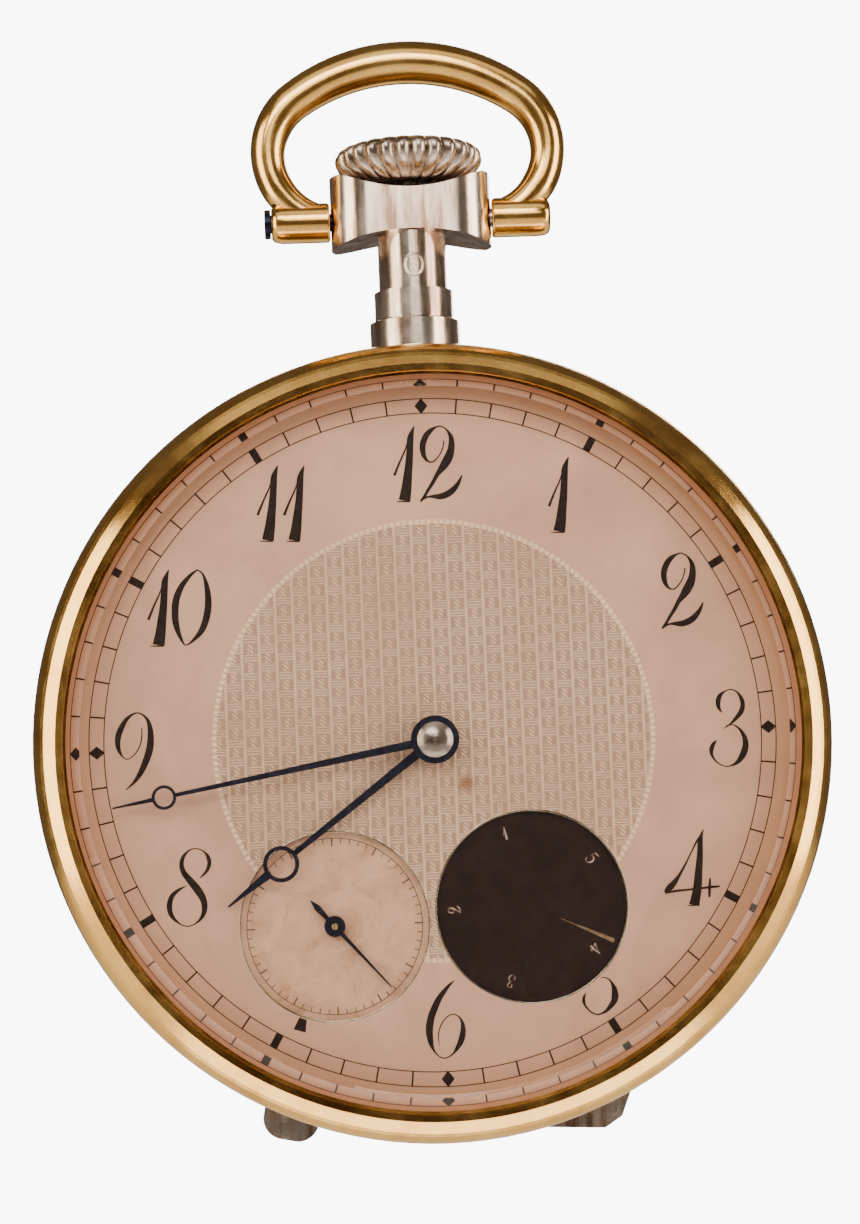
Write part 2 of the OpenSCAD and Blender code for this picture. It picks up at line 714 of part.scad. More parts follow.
module main_plate() color("gainsboro") in_case() difference() {
  union() {
    disc(plate_r, plate_h, plate_top);
    // posts of the motion work and the keyless levers
    at(minute_wheel_at) disc(0.4, plate_top - eps, motion_h + 0.6);
    at(setting_wheel_at) disc(0.4, plate_top - eps, motion_h + 0.5);
    at(counter_at) disc(0.5, plate_top - eps, motion_h + 0.3);
    at(idler_at) disc(0.5, plate_top - eps, motion_h + 0.35);
    at(lever_pivot) disc(0.3, plate_top - eps, key_h + 0.35);
    at(yoke_pivot) disc(0.3, plate_top - eps, yoke_h + key_t);
  }
  // pocket for the pinions on the stem
  translate([-1.9, stem_foot_z - 0.7, plate_h - 1]) cube([3.8, groove_z + crown_pull + 1.5 - stem_foot_z, 4]);
  translate([0, groove_z, stem_h]) rotate([-90, 0, 0]) cylinder(r = stem_r + run, h = 5);
  disc(0.75 + run, 0, 10);
  at(barrel_at) disc(1.35, 0, 10);
  at(seconds_at) disc(arbor_r + run, 0, 10);
  for (p = [third_at, escape_at, pallet_at, balance_at]) at(p) disc(jewel_r, 0, 10);
  for (p = concat(barrel_pillars, train_pillars, [balance_pillar])) at(p) disc(screw_r, 0, 10);
  at(pallet_pillar) disc(0.3, 0, 10);
  for (p = dial_feet_at) at(p) disc(0.4, 0, 10);
  for (p = case_screw_at) at(p) disc(0.35, 0, 10);
}

// ---------- dial ----------

module dial() color("tan") in_case() difference() {
  union() {
    disc(dial_d / 2, dial_h, dial_top);
    for (p = dial_feet_at) at(p) disc(0.36, plate_h + 0.4, dial_h + eps);
  }
  disc(1.25, 0, 20);
  at(seconds_at) disc(seconds_d / 2, dial_h - 1, dial_top + 1);
  at(counter_at) disc(counter_d / 2 + 0.06, dial_h - 1, dial_top + 1);
}

module seconds_dial() color("tan") in_case() at(seconds_at)
  ring(seconds_d / 2 + 0.12, 0.42, dial_h - 0.3, dial_h);

module counter_disc() color("#2a1d18") in_case() at(counter_at) {
  disc(counter_d / 2, dial_h - 0.2, dial_h + 0.12);
}

idler_phase = phase_after(barrel_at, 10, way(barrel_at, idler_at) + 18, idler_at, idler_teeth);
counter_phase = phase_after(idler_at, idler_teeth, idler_phase, counter_at, 50);

module counter_wheel() color("khaki") in_case() at(counter_at) {
  wheel(50, m_counter, motion_h, 0.5 + run, counter_phase, 5);
  ring(1, 0.5 + run, motion_h + wheel_t - eps, dial_h - 0.2);
}

module counter_idler() color("khaki") in_case() at(idler_at)
  wheel(idler_teeth, m_counter, motion_h, 0.5 + run, idler_phase, 5);

// ---------- hands ----------

// a hand lying along +y, turned clockwise by its angle
module hand_at(a, h) translate([0, 0, h]) rotate(-a) linear_extrude(hand_t) children();

module hour_hand() color("#20242c") in_case() hand_at(hour_angle, hour_hand_h) difference() {
  union() {
    circle(1.5);
    polygon([[-0.3, 0], [0.3, 0], [0.17, 11.5], [-0.17, 11.5]]);
    translate([0, 12.3]) circle(1.13);
    polygon([[-0.28, 13.3], [0.28, 13.3], [0.06, hour_reach], [-0.06, hour_reach]]);
  }
  circle(0.95);
  translate([0, 12.3]) circle(0.87);
}

module minute_hand() color("#20242c") in_case() hand_at(minute_angle, minute_hand_h) difference() {
  union() {
    circle(1.5);
    polygon([[-0.27, 0], [0.27, 0], [0.12, 16.7], [-0.12, 16.7]]);
    translate([0, 17.2]) circle(0.76);
    polygon([[-0.14, 17.8], [0.14, 17.8], [0.05, minute_reach], [-0.05, minute_reach]]);
  }
  circle(0.7);
  translate([0, 17.2]) circle(0.57);
}

module seconds_hand() color("#20242c") in_case() at(seconds_at)
  translate([0, 0, dial_h + 0.2]) rotate(-seconds_angle) linear_extrude(hand_t) difference() {
    union() {
      circle(0.65);
      polygon([[-0.14, 0], [0.14, 0], [0.04, seconds_reach], [-0.04, seconds_reach]]);
      polygon([[-0.08, 0], [-0.2, -1.6], [0, -2.3], [0.2, -1.6], [0.08, 0]]);
    }
    circle(0.2);
  }

// ---------- motion work ----------

module cannon_pinion() color("lightsteelblue") in_case() {
  pinion(10, m_motion, motion_h, motion_h + 0.24, 0.4, way(centre, minute_wheel_at) + 18);
  ring(0.7, 0.4, motion_h + 0.22, minute_hand_h + hand_t + 0.02);
  // domed cap over the minute hand
  rotate_extrude() polygon(concat(
    [[0, minute_hand_h + hand_t + 0.02], [1.1, minute_hand_h + hand_t + 0.02]],
    arc([0, minute_hand_h + hand_t + 0.17 - 1.6], 1.95, 55, 90, 6)
  ));
}

module hour_wheel() color("khaki") in_case() {
  wheel(32, m_motion, hour_wheel_h, 0.7 + run,
        phase_after(minute_wheel_at, 8, 270, centre, 32), 0);
  ring(0.95, 0.7 + run, hour_wheel_h + wheel_t - eps, hour_hand_h + hand_t);
}

module minute_wheel() color("khaki") in_case() at(minute_wheel_at) {
  wheel(30, m_motion, motion_h, 0.4 + run, 270, 0);
  pinion(8, m_motion, motion_h + wheel_t - eps, hour_wheel_h + wheel_t, 0.4 + run, 270);
}

// ---------- barrel ----------

module barrel_drum() color("khaki") in_case() at(barrel_at) {
  difference() {
    union() {
      gear(70, m_barrel, wheel_tooth, barrel_teeth_h, 0.6, 0.6 + run, way(barrel_at, centre));
      disc(barrel_r, barrel_h, barrel_teeth_h + 0.02);
      // hub through the plate, with the pinion that drives the counter
      disc(1.25, barrel_teeth_h + 0.5, motion_h);
      pinion(10, m_counter, motion_h - eps, motion_h + wheel_t, 0.6 + run, way(barrel_at, idler_at) + 18);
    }
    disc(barrel_r - 0.35, barrel_h - 1, barrel_teeth_h);
    disc(0.6 + run, 0, 20);
  }
}

module barrel_cover() color("khaki") in_case() at(barrel_at)
  ring(barrel_r - 0.35, 0.8 + run, barrel_h + 0.02, barrel_h + 0.27);

// the wound spring, as the space that its coils fill
module mainspring() color("steelblue") in_case() at(barrel_at)
  ring(barrel_r - 0.5, 3.6, barrel_h + 0.38, barrel_teeth_h - 0.06);

// ---------- going train ----------

module centre_arbor() color("lightsteelblue") in_case() {
  disc(pivot_r, under_bridge - pivot_l, under_bridge);
  disc(0.45, under_bridge + 0.03, plate_h);
  disc(0.75, plate_h - 0.05, motion_h);
  disc(0.4, motion_h - eps, minute_hand_h + hand_t);
  pinion(10, m_barrel, barrel_teeth_h, barrel_teeth_h + 0.6, 0.2, way(centre, barrel_at) + 180 + 18 + 180);
}

module centre_wheel() color("khaki") in_case()
  wheel(64, m_third, centre_wheel_h, 0.45, way(centre, third_at));

module third_wheel() color("khaki") in_case() at(third_at) {
  wheel(60, m_fourth, third_wheel_h, 0.2, way(third_at, seconds_at));
  pinion(8, m_third, under_bridge + 0.08, centre_wheel_h + wheel_t + 0.2, 0.2, way(third_at, centre) + 22.5);
  arbor(under_bridge + 0.03, plate_h - 0.03);
}

module fourth_wheel() color("khaki") in_case() at(seconds_at) {
  wheel(70, m_escape, fourth_wheel_h, 0.2, way(seconds_at, escape_at));
  pinion(8, m_fourth, third_wheel_h - 0.1, third_wheel_h + 0.4, 0.2, way(seconds_at, third_at) + 22.5);
  disc(pivot_r, under_bridge - pivot_l, plate_h);
  disc(arbor_r, under_bridge + 0.03, dial_h - 0.1);
  disc(0.2, dial_h - 0.2, dial_h + 0.2 + hand_t + 0.1);
}

// an escape tooth leans forwards to a narrow tip
function escape_outline(n, ro, ri) = [for (i = [0:n - 1], q = [[ri, 0], [ro, 7], [ro, 9.5], [ri, 10.5]])
  polar(q[0], q[1] + i * 360 / n)];

module escape_wheel() color("lightsteelblue") in_case() at(escape_at) {
  translate([0, 0, lever_h]) linear_extrude(0.22) difference() {
    polygon(escape_outline(15, 2.6, 1.9));
    windows(1.5, 0.6, 4, 0.3);
  }
  pinion(7, m_escape, fourth_wheel_h - 0.06, fourth_wheel_h + wheel_t + 0.1, 0.2,
         way(escape_at, seconds_at) + 180 / 7);
  arbor(under_bridge + 0.03, plate_h - 0.03);
}

module pallet_fork() color("lightsteelblue") in_case() at(pallet_at) {
  translate([0, 0, lever_h]) linear_extrude(0.22) difference() {
    union() {
      bar([0, 0], [-0.5, 1.9], 0.24);
      bar([0, 0], [-0.5, -1.9], 0.24);
      bar([0, 0], [2.2, 0], 0.2);
      translate([2.1, -0.35]) square([0.5, 0.7]);
    }
    translate([2.3, -0.14]) square([1, 0.28]);
  }
  arbor(4.4, plate_h - 0.03, 0.22);
}

module balance_wheel() color("gold") in_case() at(balance_at) {
  translate([0, 0, 2.95]) linear_extrude(0.5) difference() {
    circle(balance_r);
    windows(balance_r - 0.6, 1, 2, 0.7);
    circle(0.4);
  }
  for (i = [0:11]) rotate(15 + i * 30) translate([balance_r - 0.02, 0, 3.2]) rotate([0, 90, 0])
    cylinder(r = 0.2, h = 0.3);
}

module balance_staff() color("lightsteelblue") in_case() at(balance_at) {
  arbor(2.5, plate_h - 0.03, 0.4);
  difference() {
    disc(0.95, 4.8, 5.05);
    translate([-0.75, 0, 0]) disc(0.1, 4.7, 6);
  }
}

// flat spiral of the balance, as the disc that its coils fill
module hairspring() color("steelblue") in_case() at(balance_at) ring(2.9, 0.55, 2.6, 2.78);

module hairspring_stud() color("gold") in_case() at(balance_at) rotate(200) translate([3.3, 0, 0])
  disc(0.28, 2.5, 2.85);

module regulator() color("lightsteelblue") in_case() at(balance_at) difference() {
  translate([0, 0, 1.78]) linear_extrude(0.06) union() {
    circle(1.5);
    polygon([[0.5, -0.5], [5.4, -0.12], [5.4, 0.12], [0.5, 0.5]]);
  }
  disc(1, 0, 3);
}

case_band();
bezel();
crystal();
back_cover();
dust_cover();
hinge_pin();
pendant();
pendant_sleeve();
bow();
bow_screw();
bow_pin();
crown();
winding_stem();
stand_feet();
case_screws();
main_plate();
barrel_bridge();
train_bridge();
pallet_cock();
balance_cock();
bridge_screws();
jewels();
dial();
seconds_dial();
counter_disc();
counter_wheel();
counter_idler();
hour_hand();
minute_hand();
seconds_hand();
cannon_pinion();
hour_wheel();
minute_wheel();
setting_wheel();
setting_lever();
yoke();
sliding_pinion();
winding_pinion();
crown_wheel();
crown_wheel_core();
ratchet_wheel();
ratchet_screw();
barrel_arbor();
barrel_drum();
barrel_cover();
mainspring();
click();
click_spring();
centre_arbor();
centre_wheel();
third_wheel();
fourth_wheel();
escape_wheel();
pallet_fork();
balance_wheel();
balance_staff();
hairspring();
hairspring_stud();
regulator();
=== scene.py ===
import json
import math

import bpy
import bmesh
from mathutils import Matrix, Vector, noise


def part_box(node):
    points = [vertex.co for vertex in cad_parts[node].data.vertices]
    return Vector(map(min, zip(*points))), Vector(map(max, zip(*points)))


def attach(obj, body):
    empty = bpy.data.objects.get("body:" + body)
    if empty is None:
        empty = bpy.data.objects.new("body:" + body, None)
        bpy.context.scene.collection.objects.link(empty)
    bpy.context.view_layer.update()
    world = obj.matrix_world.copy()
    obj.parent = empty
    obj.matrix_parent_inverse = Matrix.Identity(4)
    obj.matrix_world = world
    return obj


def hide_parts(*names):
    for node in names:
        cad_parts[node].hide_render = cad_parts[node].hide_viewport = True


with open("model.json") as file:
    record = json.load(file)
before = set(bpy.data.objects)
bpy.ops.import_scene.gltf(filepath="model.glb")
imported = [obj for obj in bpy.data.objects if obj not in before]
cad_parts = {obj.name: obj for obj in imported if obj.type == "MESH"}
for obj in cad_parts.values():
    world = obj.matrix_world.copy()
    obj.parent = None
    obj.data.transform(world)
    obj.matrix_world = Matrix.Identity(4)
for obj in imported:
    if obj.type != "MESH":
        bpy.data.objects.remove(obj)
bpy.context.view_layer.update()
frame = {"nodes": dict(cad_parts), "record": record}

# Lengths are in millimetres. A point is (x, y, h): x to three o'clock, y to twelve, h the
# height above the case back, towards the glass.
MM = 0.001
DIAL_TOP = 9.05
DISC_TOP = 8.77
SECONDS_TOP = 8.65
SECONDS_AT = (-6.67, -11.37)
COUNTER_AT = (5.68, -10.64)
STEM_H = 5.6
PIVOT_Z = 33.8
CROWN_FOOT = 35.85
# the engine turned middle of the dial, and the outside of its beaded border
TURNED_R = 13.62
BORDER_R = 13.9
# the two circles of the minute track
TRACK_R = (20.6, 21.52)


def row(x, y, h):
    return Vector((x * MM, -h * MM, y * MM))


def polar(r, a):
    """a in degrees, clockwise from twelve"""
    return (r * math.sin(math.radians(a)), r * math.cos(math.radians(a)))


# ---------- meshes ----------

class Solids:
    """Collects closed solids into one mesh."""

    def __init__(self):
        self.verts, self.faces = [], []

    def add(self, verts, faces):
        n = len(self.verts)
        self.verts += verts
        self.faces += [[i + n for i in f] for f in faces]

    def strip(self, left, right, h0, h1):
        """a flat ribbon between two edges, from h0 up to h1"""
        n = len(left)
        verts = []
        for h in (h0, h1):
            verts += [row(x, y, h) for x, y in left] + [row(x, y, h) for x, y in right]
        faces = []
        for i in range(n - 1):
            l, r, tl, tr = i, n + i, 2 * n + i, 3 * n + i
            faces += [[l, l + 1, r + 1, r], [tl, tr, tr + 1, tl + 1],
                      [l, tl, tl + 1, l + 1], [r, r + 1, tr + 1, tr]]
        for i in (0, n - 1):
            faces.append([i, n + i, 3 * n + i, 2 * n + i])
        self.add(verts, faces)

    def polygon(self, points, h0, h1):
        n = len(points)
        verts = [row(x, y, h) for h in (h0, h1) for x, y in points]
        faces = [list(range(n)), list(range(n, 2 * n))]
        faces += [[i, (i + 1) % n, n + (i + 1) % n, n + i] for i in range(n)]
        self.add(verts, faces)

    def ring(self, centre, r0, r1, h0, h1, n=180):
        verts = []
        for h in (h0, h1):
            for r in (r0, r1):
                for i in range(n):
                    x, y = polar(r, 360 * i / n)
                    verts.append(row(centre[0] + x, centre[1] + y, h))
        faces = []
        for i in range(n):
            j = (i + 1) % n
            for a, b in ((0, 1), (1, 3), (3, 2), (2, 0)):
                faces.append([a * n + i, a * n + j, b * n + j, b * n + i])
        self.add(verts, faces)

    def build(self, name, body, material, smooth=False, bevel=0):
        mesh = bpy.data.meshes.new(name)
        mesh.from_pydata(self.verts, [], self.faces)
        bm = bmesh.new()
        bm.from_mesh(mesh)
        bmesh.ops.recalc_face_normals(bm, faces=bm.faces)
        for f in bm.faces:
            f.smooth = smooth
        bm.to_mesh(mesh)
        bm.free()
        piece = bpy.data.objects.new(name, mesh)
        bpy.context.scene.collection.objects.link(piece)
        mesh.materials.append(material)
        if bevel:
            soften(piece, bevel)
        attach(piece, body)
        return piece


def soften(piece, width, angle=35):
    m = piece.modifiers.new("edge", "BEVEL")
    m.width = width * MM
    m.segments = 2
    m.limit_method = "ANGLE"
    m.angle_limit = math.radians(angle)
    m.harden_normals = False


def smooth_by_angle(piece, degrees=35):
    mesh = piece.data
    for p in mesh.polygons:
        p.use_smooth = True
    mesh.set_sharp_from_angle(angle=math.radians(degrees))


def catmull(points, steps):
    """a smooth curve through points of any size"""
    p = [points[0]] + list(points) + [points[-1]]
    out = []
    for i in range(1, len(p) - 2):
        for k in range(steps):
            t = k / steps
            out.append([0.5 * (2 * b + (c - a) * t + (2 * a - 5 * b + 4 * c - d) * t * t
                               + (3 * b - a - 3 * c + d) * t ** 3)
                        for a, b, c, d in zip(p[i - 1], p[i], p[i + 1], p[i + 2])])
    out.append(list(points[-1]))
    return out


def pen_edges(points, steps=8):
    """left and right edges of a pen stroke through (x, y, width) points"""
    c = catmull(points, steps)
    left, right = [], []
    for i, (x, y, w) in enumerate(c):
        x0, y0, _ = c[max(i - 1, 0)]
        x1, y1, _ = c[min(i + 1, len(c) - 1)]
        d = math.hypot(x1 - x0, y1 - y0) or 1
        nx, ny = -(y1 - y0) / d, (x1 - x0) / d
        w = max(w, 0.004) / 2
        left.append((x + nx * w, y + ny * w))
        right.append((x - nx * w, y - ny * w))
    return left, right


# ---------- numerals ----------
# pen strokes in a box one unit high, as (x, y, width)

GLYPHS = {
    "1": [[(.136, .995, .01), (.108, .92, .05), (.085, .83, .085), (.08, .69, .088), (.068, .49, .1),
           (.052, .33, .115), (.035, .165, .135), (.012, .02, .155)],
          [(-.095, .008, .008), (-.02, .008, .018), (.08, .008, .018)],
          [(.05, .79, .008), (.018, .68, .02), (-.036, .56, .024), (-.08, .453, .03), (-.122, .345, .036)]],
    "2": [[(.038, .805, .018), (.028, .735, .016), (-.004, .646, .016), (-.053, .573, .017),
           (-.093, .536, .02), (-.13, .524, .018), (-.179, .545, .032), (-.22, .606, .057),
           (-.238, .687, .075), (-.232, .776, .08), (-.191, .874, .077), (-.134, .939, .06),
           (-.077, .976, .028), (-.016, .996, .018), (.045, .972, .018), (.094, .923, .033),
           (.13, .85, .061), (.138, .768, .081), (.13, .687, .094), (.102, .598, .114),
           (.053, .508, .112), (.004, .435, .085), (-.045, .37, .06), (-.102, .264, .049),
           (-.167, .159, .041), (-.215, .077, .037), (-.264, .012, .028)],
          [(-.264, .012, .02), (-.207, .057, .028), (-.159, .072, .025), (-.093, .077, .05),
           (-.012, .077, .077), (.069, .102, .085), (.142, .15, .081), (.207, .224, .06),
           (.248, .297, .037), (.272, .358, .014)]],
    "3": [[(-.086, .694, .006), (-.133, .757, .045), (-.143, .842, .066), (-.118, .915, .055),
           (-.055, .972, .02), (.03, .996, .015), (.107, .96, .025), (.158, .884, .05),
           (.178, .8, .06), (.155, .71, .066), (.09, .625, .05), (.01, .545, .024), (-.07, .49, .01)],
          [(-.044, .526, .006), (.05, .537, .014), (.135, .484, .032), (.198, .379, .06),
           (.212, .274, .08), (.183, .168, .086), (.113, .063, .055), (.02, .01, .02),
           (-.065, .004, .015), (-.16, .053, .018), (-.223, .137, .034), (-.234, .22, .058),
           (-.202, .295, .045), (-.16, .337, .008)]],
    "4": [[(.155, .992, .006), (.127, .923, .04), (.11, .843, .068), (.108, .778, .072),
           (.103, .633, .081), (.09, .472, .095), (.077, .31, .108), (.063, .19, .115),
           (.04, .077, .125), (.027, .016, .14)],
          [(-.062, .01, .008), (0, .012, .016), (.095, .016, .016)],
          [(.127, .94, .01), (.072, .85, .024), (.022, .754, .02), (-.03, .65, .018),
           (-.074, .56, .024), (-.122, .472, .032), (-.17, .391, .044), (-.232, .302, .072),
           (-.292, .238, .085), (-.357, .182, .03)],
          [(-.348, .17, .024), (-.203, .198, .03), (-.058, .212, .026), (.135, .234, .028),
           (.232, .246, .032), (.361, .258, .026)],
          [(.235, .363, .022), (.228, .246, .036), (.224, .117, .028)]],
    "5": [[(-.12, .99, .03), (-.02, .95, .085), (.12, .96, .07), (.27, 1, .015)],
          [(-.12, .985, .02), (-.15, .78, .022), (-.17, .56, .022)],
          [(-.17, .56, .012), (-.04, .625, .03), (.1, .6, .07), (.2, .48, .11), (.22, .33, .125),
           (.16, .16, .1), (.04, .03, .04), (-.08, .002, .024), (-.2, .05, .04),
           (-.26, .15, .055), (-.22, .26, .012)]],
    "6": [[(.112, .995, .006), (.055, .949, .032), (-.009, .876, .055), (-.083, .774, .074),
           (-.138, .664, .088), (-.184, .544, .092), (-.207, .433, .095), (-.212, .341, .09),
           (-.2, .249, .078), (-.18, .166, .05), (-.143, .092, .023), (-.092, .037, .015),
           (-.028, .009, .015), (.041, .028, .015), (.101, .074, .025), (.152, .147, .055),
           (.198, .24, .078), (.219, .341, .072), (.217, .433, .05), (.189, .507, .026),
           (.147, .548, .015), (.092, .567, .014), (.037, .548, .014), (-.023, .493, .014),
           (-.069, .415, .014), (-.092, .332, .014), (-.094, .249, .012), (-.078, .166, .006)]],
    "8": [[(.135, .616, .008), (.216, .697, .036), (.257, .788, .05), (.247, .879, .05),
           (.187, .96, .02), (.087, .996, .014), (-.004, .97, .02), (-.074, .889, .045),
           (-.095, .788, .06), (-.064, .687, .07), (.026, .576, .09), (.117, .465, .1),
           (.187, .343, .085), (.202, .222, .07), (.168, .121, .045), (.087, .04, .018),
           (-.014, .006, .014), (-.115, .04, .018), (-.216, .141, .056), (-.246, .263, .07),
           (-.216, .384, .06), (-.135, .465, .04), (-.034, .519, .008)]],
    "9": [[(.085, .81, .01), (.089, .707, .016), (.068, .583, .016), (.006, .469, .014),
           (-.087, .401, .012), (-.159, .438, .02), (-.21, .541, .056), (-.217, .665, .074),
           (-.18, .789, .074), (-.107, .913, .05), (-.025, .979, .024), (.048, .992, .018),
           (.13, .944, .03), (.182, .851, .055), (.202, .707, .08), (.192, .541, .093),
           (.151, .397, .088), (.079, .231, .07), (-.004, .107, .04), (-.112, .004, .008)]],
    "0": [[(.069, .996, .017), (-.028, .914, .047), (-.135, .774, .075), (-.2, .602, .09),
           (-.211, .409, .09), (-.19, .258, .077), (-.135, .108, .043), (-.071, .022, .017),
           (.026, .086, .039), (.133, .215, .077), (.194, .387, .09), (.215, .581, .086),
           (.194, .774, .065), (.144, .935, .026), (.069, .996, .017)]],
}
# what the counter disc leaves of the five, and the seconds dial of the seven
FIVE_BOWL = [(-.57, .35, .03), (-.7, .06, .17), (-.71, -.17, .2), (-.65, -.39, .14), (-.47, -.65, .11),
             (-.21, -.88, .09), (.15, -1, .09), (.47, -.91, .13), (.73, -.75, .21), (.96, -.49, .3),
             (1.17, -.2, .38), (1.25, .12, .44), (1.23, .45, .38), (1.15, .74, .27),
             (1.02, 1, .14), (.83, 1.2, .09), (.57, 1.29, .06), (.34, 1.25, .05)]
# the numerals lean this much to the dial's own upright, in degrees
UPRIGHT = -2.4


def write(solids, text, at, height, lean, pitch, h0):
    """numerals centred on a point of the dial"""
    a = math.radians(lean)
    for k, letter in enumerate(text):
        shift = (k - (len(text) - 1) / 2) * pitch
        for s, strokes in enumerate(GLYPHS[letter]):
            points = []
            for x, y, w in strokes:
                u, v = x * height + shift, (y - 0.5) * height
                points.append((at[0] + u * math.cos(a) - v * math.sin(a),
                               at[1] + u * math.sin(a) + v * math.cos(a), w * height))
            left, right = pen_edges(points)
            solids.strip(left, right, h0 - 0.01, h0 + 0.012 + 0.002 * s)


NUMERALS = [("12", -.06, 17.4, 2.35), ("1", 8.45, 15.15, 0), ("2", 16.03, 8.75, 0), ("3", 18.6, .02, 0),
            ("4", 15.83, -8.63, 0), ("6", .01, -17.41, 0), ("8", -15.65, -8.57, 0),
            ("9", -18.72, .01, 0), ("10", -15.93, 8.88, 2.1), ("11", -9.09, 15.22, 1.66)]


def dial_numerals(ink):
    s = Solids()
    for text, x, y, pitch in NUMERALS:
        write(s, text, (x, y), 4.86, UPRIGHT, pitch, DIAL_TOP)
    a = math.radians(UPRIGHT)
    bowl = [(9.38 + x * math.cos(a) - y * math.sin(a), -16.51 + x * math.sin(a) + y * math.cos(a), w)
            for x, y, w in FIVE_BOWL]
    s.strip(*pen_edges(bowl), DIAL_TOP - 0.01, DIAL_TOP + 0.012)
    s.strip(*pen_edges([(-8.85, -16.98, .5), (-8.97, -17.3, .6), (-9.1, -17.72, .78)], 3),
            DIAL_TOP - 0.01, DIAL_TOP + 0.012)
    s.build("dial_numerals", "case", ink)


def dial_track(ink):
    """the minute track: two circles, sixty bars and four diamonds"""
    s = Solids()
    for r in TRACK_R:
        s.ring((0, 0), r, r + 0.06, DIAL_TOP - 0.01, DIAL_TOP + 0.01, 240)
    for i in range(60):
        if i % 15 == 0:
            continue
        half = 0.24 if i % 5 == 0 else 0.05
        a = 6 * i
        dx, dy = polar(half, a + 90)
        (x0, y0), (x1, y1) = polar(20.62, a), polar(21.54, a)
        s.strip([(x0 + dx, y0 + dy), (x1 + dx, y1 + dy)], [(x0 - dx, y0 - dy), (x1 - dx, y1 - dy)],
                DIAL_TOP - 0.01, DIAL_TOP + 0.013)
    for a in range(0, 360, 90):
        s.polygon([polar(21.08 + 0.51, a), polar_off(21.08, a, 0.41),
                   polar(21.08 - 0.51, a), polar_off(21.08, a, -0.41)], DIAL_TOP - 0.01, DIAL_TOP + 0.015)
    s.build("dial_track", "case", ink)


def polar_off(r, a, side):
    x, y = polar(r, a)
    dx, dy = polar(side, a + 90)
    return x + dx, y + dy


def seconds_track(ink):
    s = Solids()
    s.ring(SECONDS_AT, 5.46, 5.51, SECONDS_TOP - 0.01, SECONDS_TOP + 0.01)
    s.ring(SECONDS_AT, 0.62, 0.66, SECONDS_TOP - 0.01, SECONDS_TOP + 0.01, 60)
    for i in range(60):
        long = i % 5 == 0
        half = 0.045 if long else 0.028
        a = 6 * i
        (x0, y0), (x1, y1) = polar(5.48 - (0.5 if long else 0.32), a), polar(5.48, a)
        dx, dy = polar(half, a + 90)
        cx, cy = SECONDS_AT
        s.strip([(cx + x0 + dx, cy + y0 + dy), (cx + x1 + dx, cy + y1 + dy)],
                [(cx + x0 - dx, cy + y0 - dy), (cx + x1 - dx, cy + y1 - dy)],
                SECONDS_TOP - 0.01, SECONDS_TOP + 0.012)
    s.build("seconds_track", "case", ink)


def rim_edge(name, at, r, material):
    """the cut edge of a hole in the dial, a fine rounded lip"""
    s = Solids()
    s.ring(at, r - 0.05, r + 0.06, DIAL_TOP - 0.06, DIAL_TOP + 0.012, 160)
    s.build(name, "case", material, bevel=0.015)


def counter_marks(dark, pale, gilt):
    """five radial marks on the counter disc, each with its small numeral"""
    black, light, gold = Solids(), Solids(), Solids()
    for k in range(5):
        a = -29.1 - 72 * k + 360
        (x0, y0), (x1, y1) = polar(1.95, a), polar(5.6, a)
        dx, dy = polar(0.055, a + 90)
        ex, ey = polar(0.14, a + 90)
        if k == 4:
            (x0, y0) = polar(4.9, a)
        s = gold if k == 3 else black
        cx, cy = COUNTER_AT
        s.strip([(cx + x0 + dx * .3, cy + y0 + dy * .3), (cx + x1 + ex, cy + y1 + ey)],
                [(cx + x0 - dx * .3, cy + y0 - dy * .3), (cx + x1 - ex, cy + y1 - ey)],
                DISC_TOP - 0.01, DISC_TOP + 0.02)
        x, y = polar(4.85, a + 11)
        write(light, str(k + 1), (cx + x, cy + y), 0.82, -(a + 11), 0, DISC_TOP)
    black.build("counter_marks", "counter_disc", dark)
    gold.build("counter_gilt_mark", "counter_disc", gilt)
    light.build("counter_numerals", "counter_disc", pale)


# ---------- pendant, crown and bow ----------

def crown_profile():
    """(radius, height above the crown's foot, depth of the flutes), from the underside up"""
    return [(2.0, .02, .0), (2.45, .05, .1), (3.1, .22, .2), (3.75, .52, .3), (4.3, .92, .38),
            (4.66, 1.38, .42), (4.78, 1.82, .42), (4.7, 2.18, .38), (4.4, 2.46, .3),
            (3.9, 2.62, .2), (3.2, 2.69, .1), (2.3, 2.72, .03), (1.2, 2.75, 0), (.3, 2.76, 0)]


def fluted_crown(silver):
    """an onion crown: rounded ribs that converge down to the stem"""
    flutes, per = 26, 12
    n = flutes * per
    rows_ = catmull(crown_profile(), 4)
    verts, faces = [], []
    for r, z, depth in rows_:
        for i in range(n):
            a = 2 * math.pi * i / n
            rib = abs(math.cos(a * flutes / 2)) ** 0.75
            rr = r - depth * (1 - rib)
            verts.append(Vector((rr * math.cos(a), rr * math.sin(a) - STEM_H, CROWN_FOOT + z)) * MM)
    for k in range(len(rows_) - 1):
        for i in range(n):
            j = (i + 1) % n
            faces.append([k * n + i, k * n + j, (k + 1) * n + j, (k + 1) * n + i])
    faces.append(list(range(n))[::-1])
    faces.append([(len(rows_) - 1) * n + i for i in range(n)])
    s = Solids()
    s.add(verts, faces)
    piece = s.build("crown_fluted", "crown", silver, smooth=True)
    smooth_by_angle(piece, 40)
    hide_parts("crown")


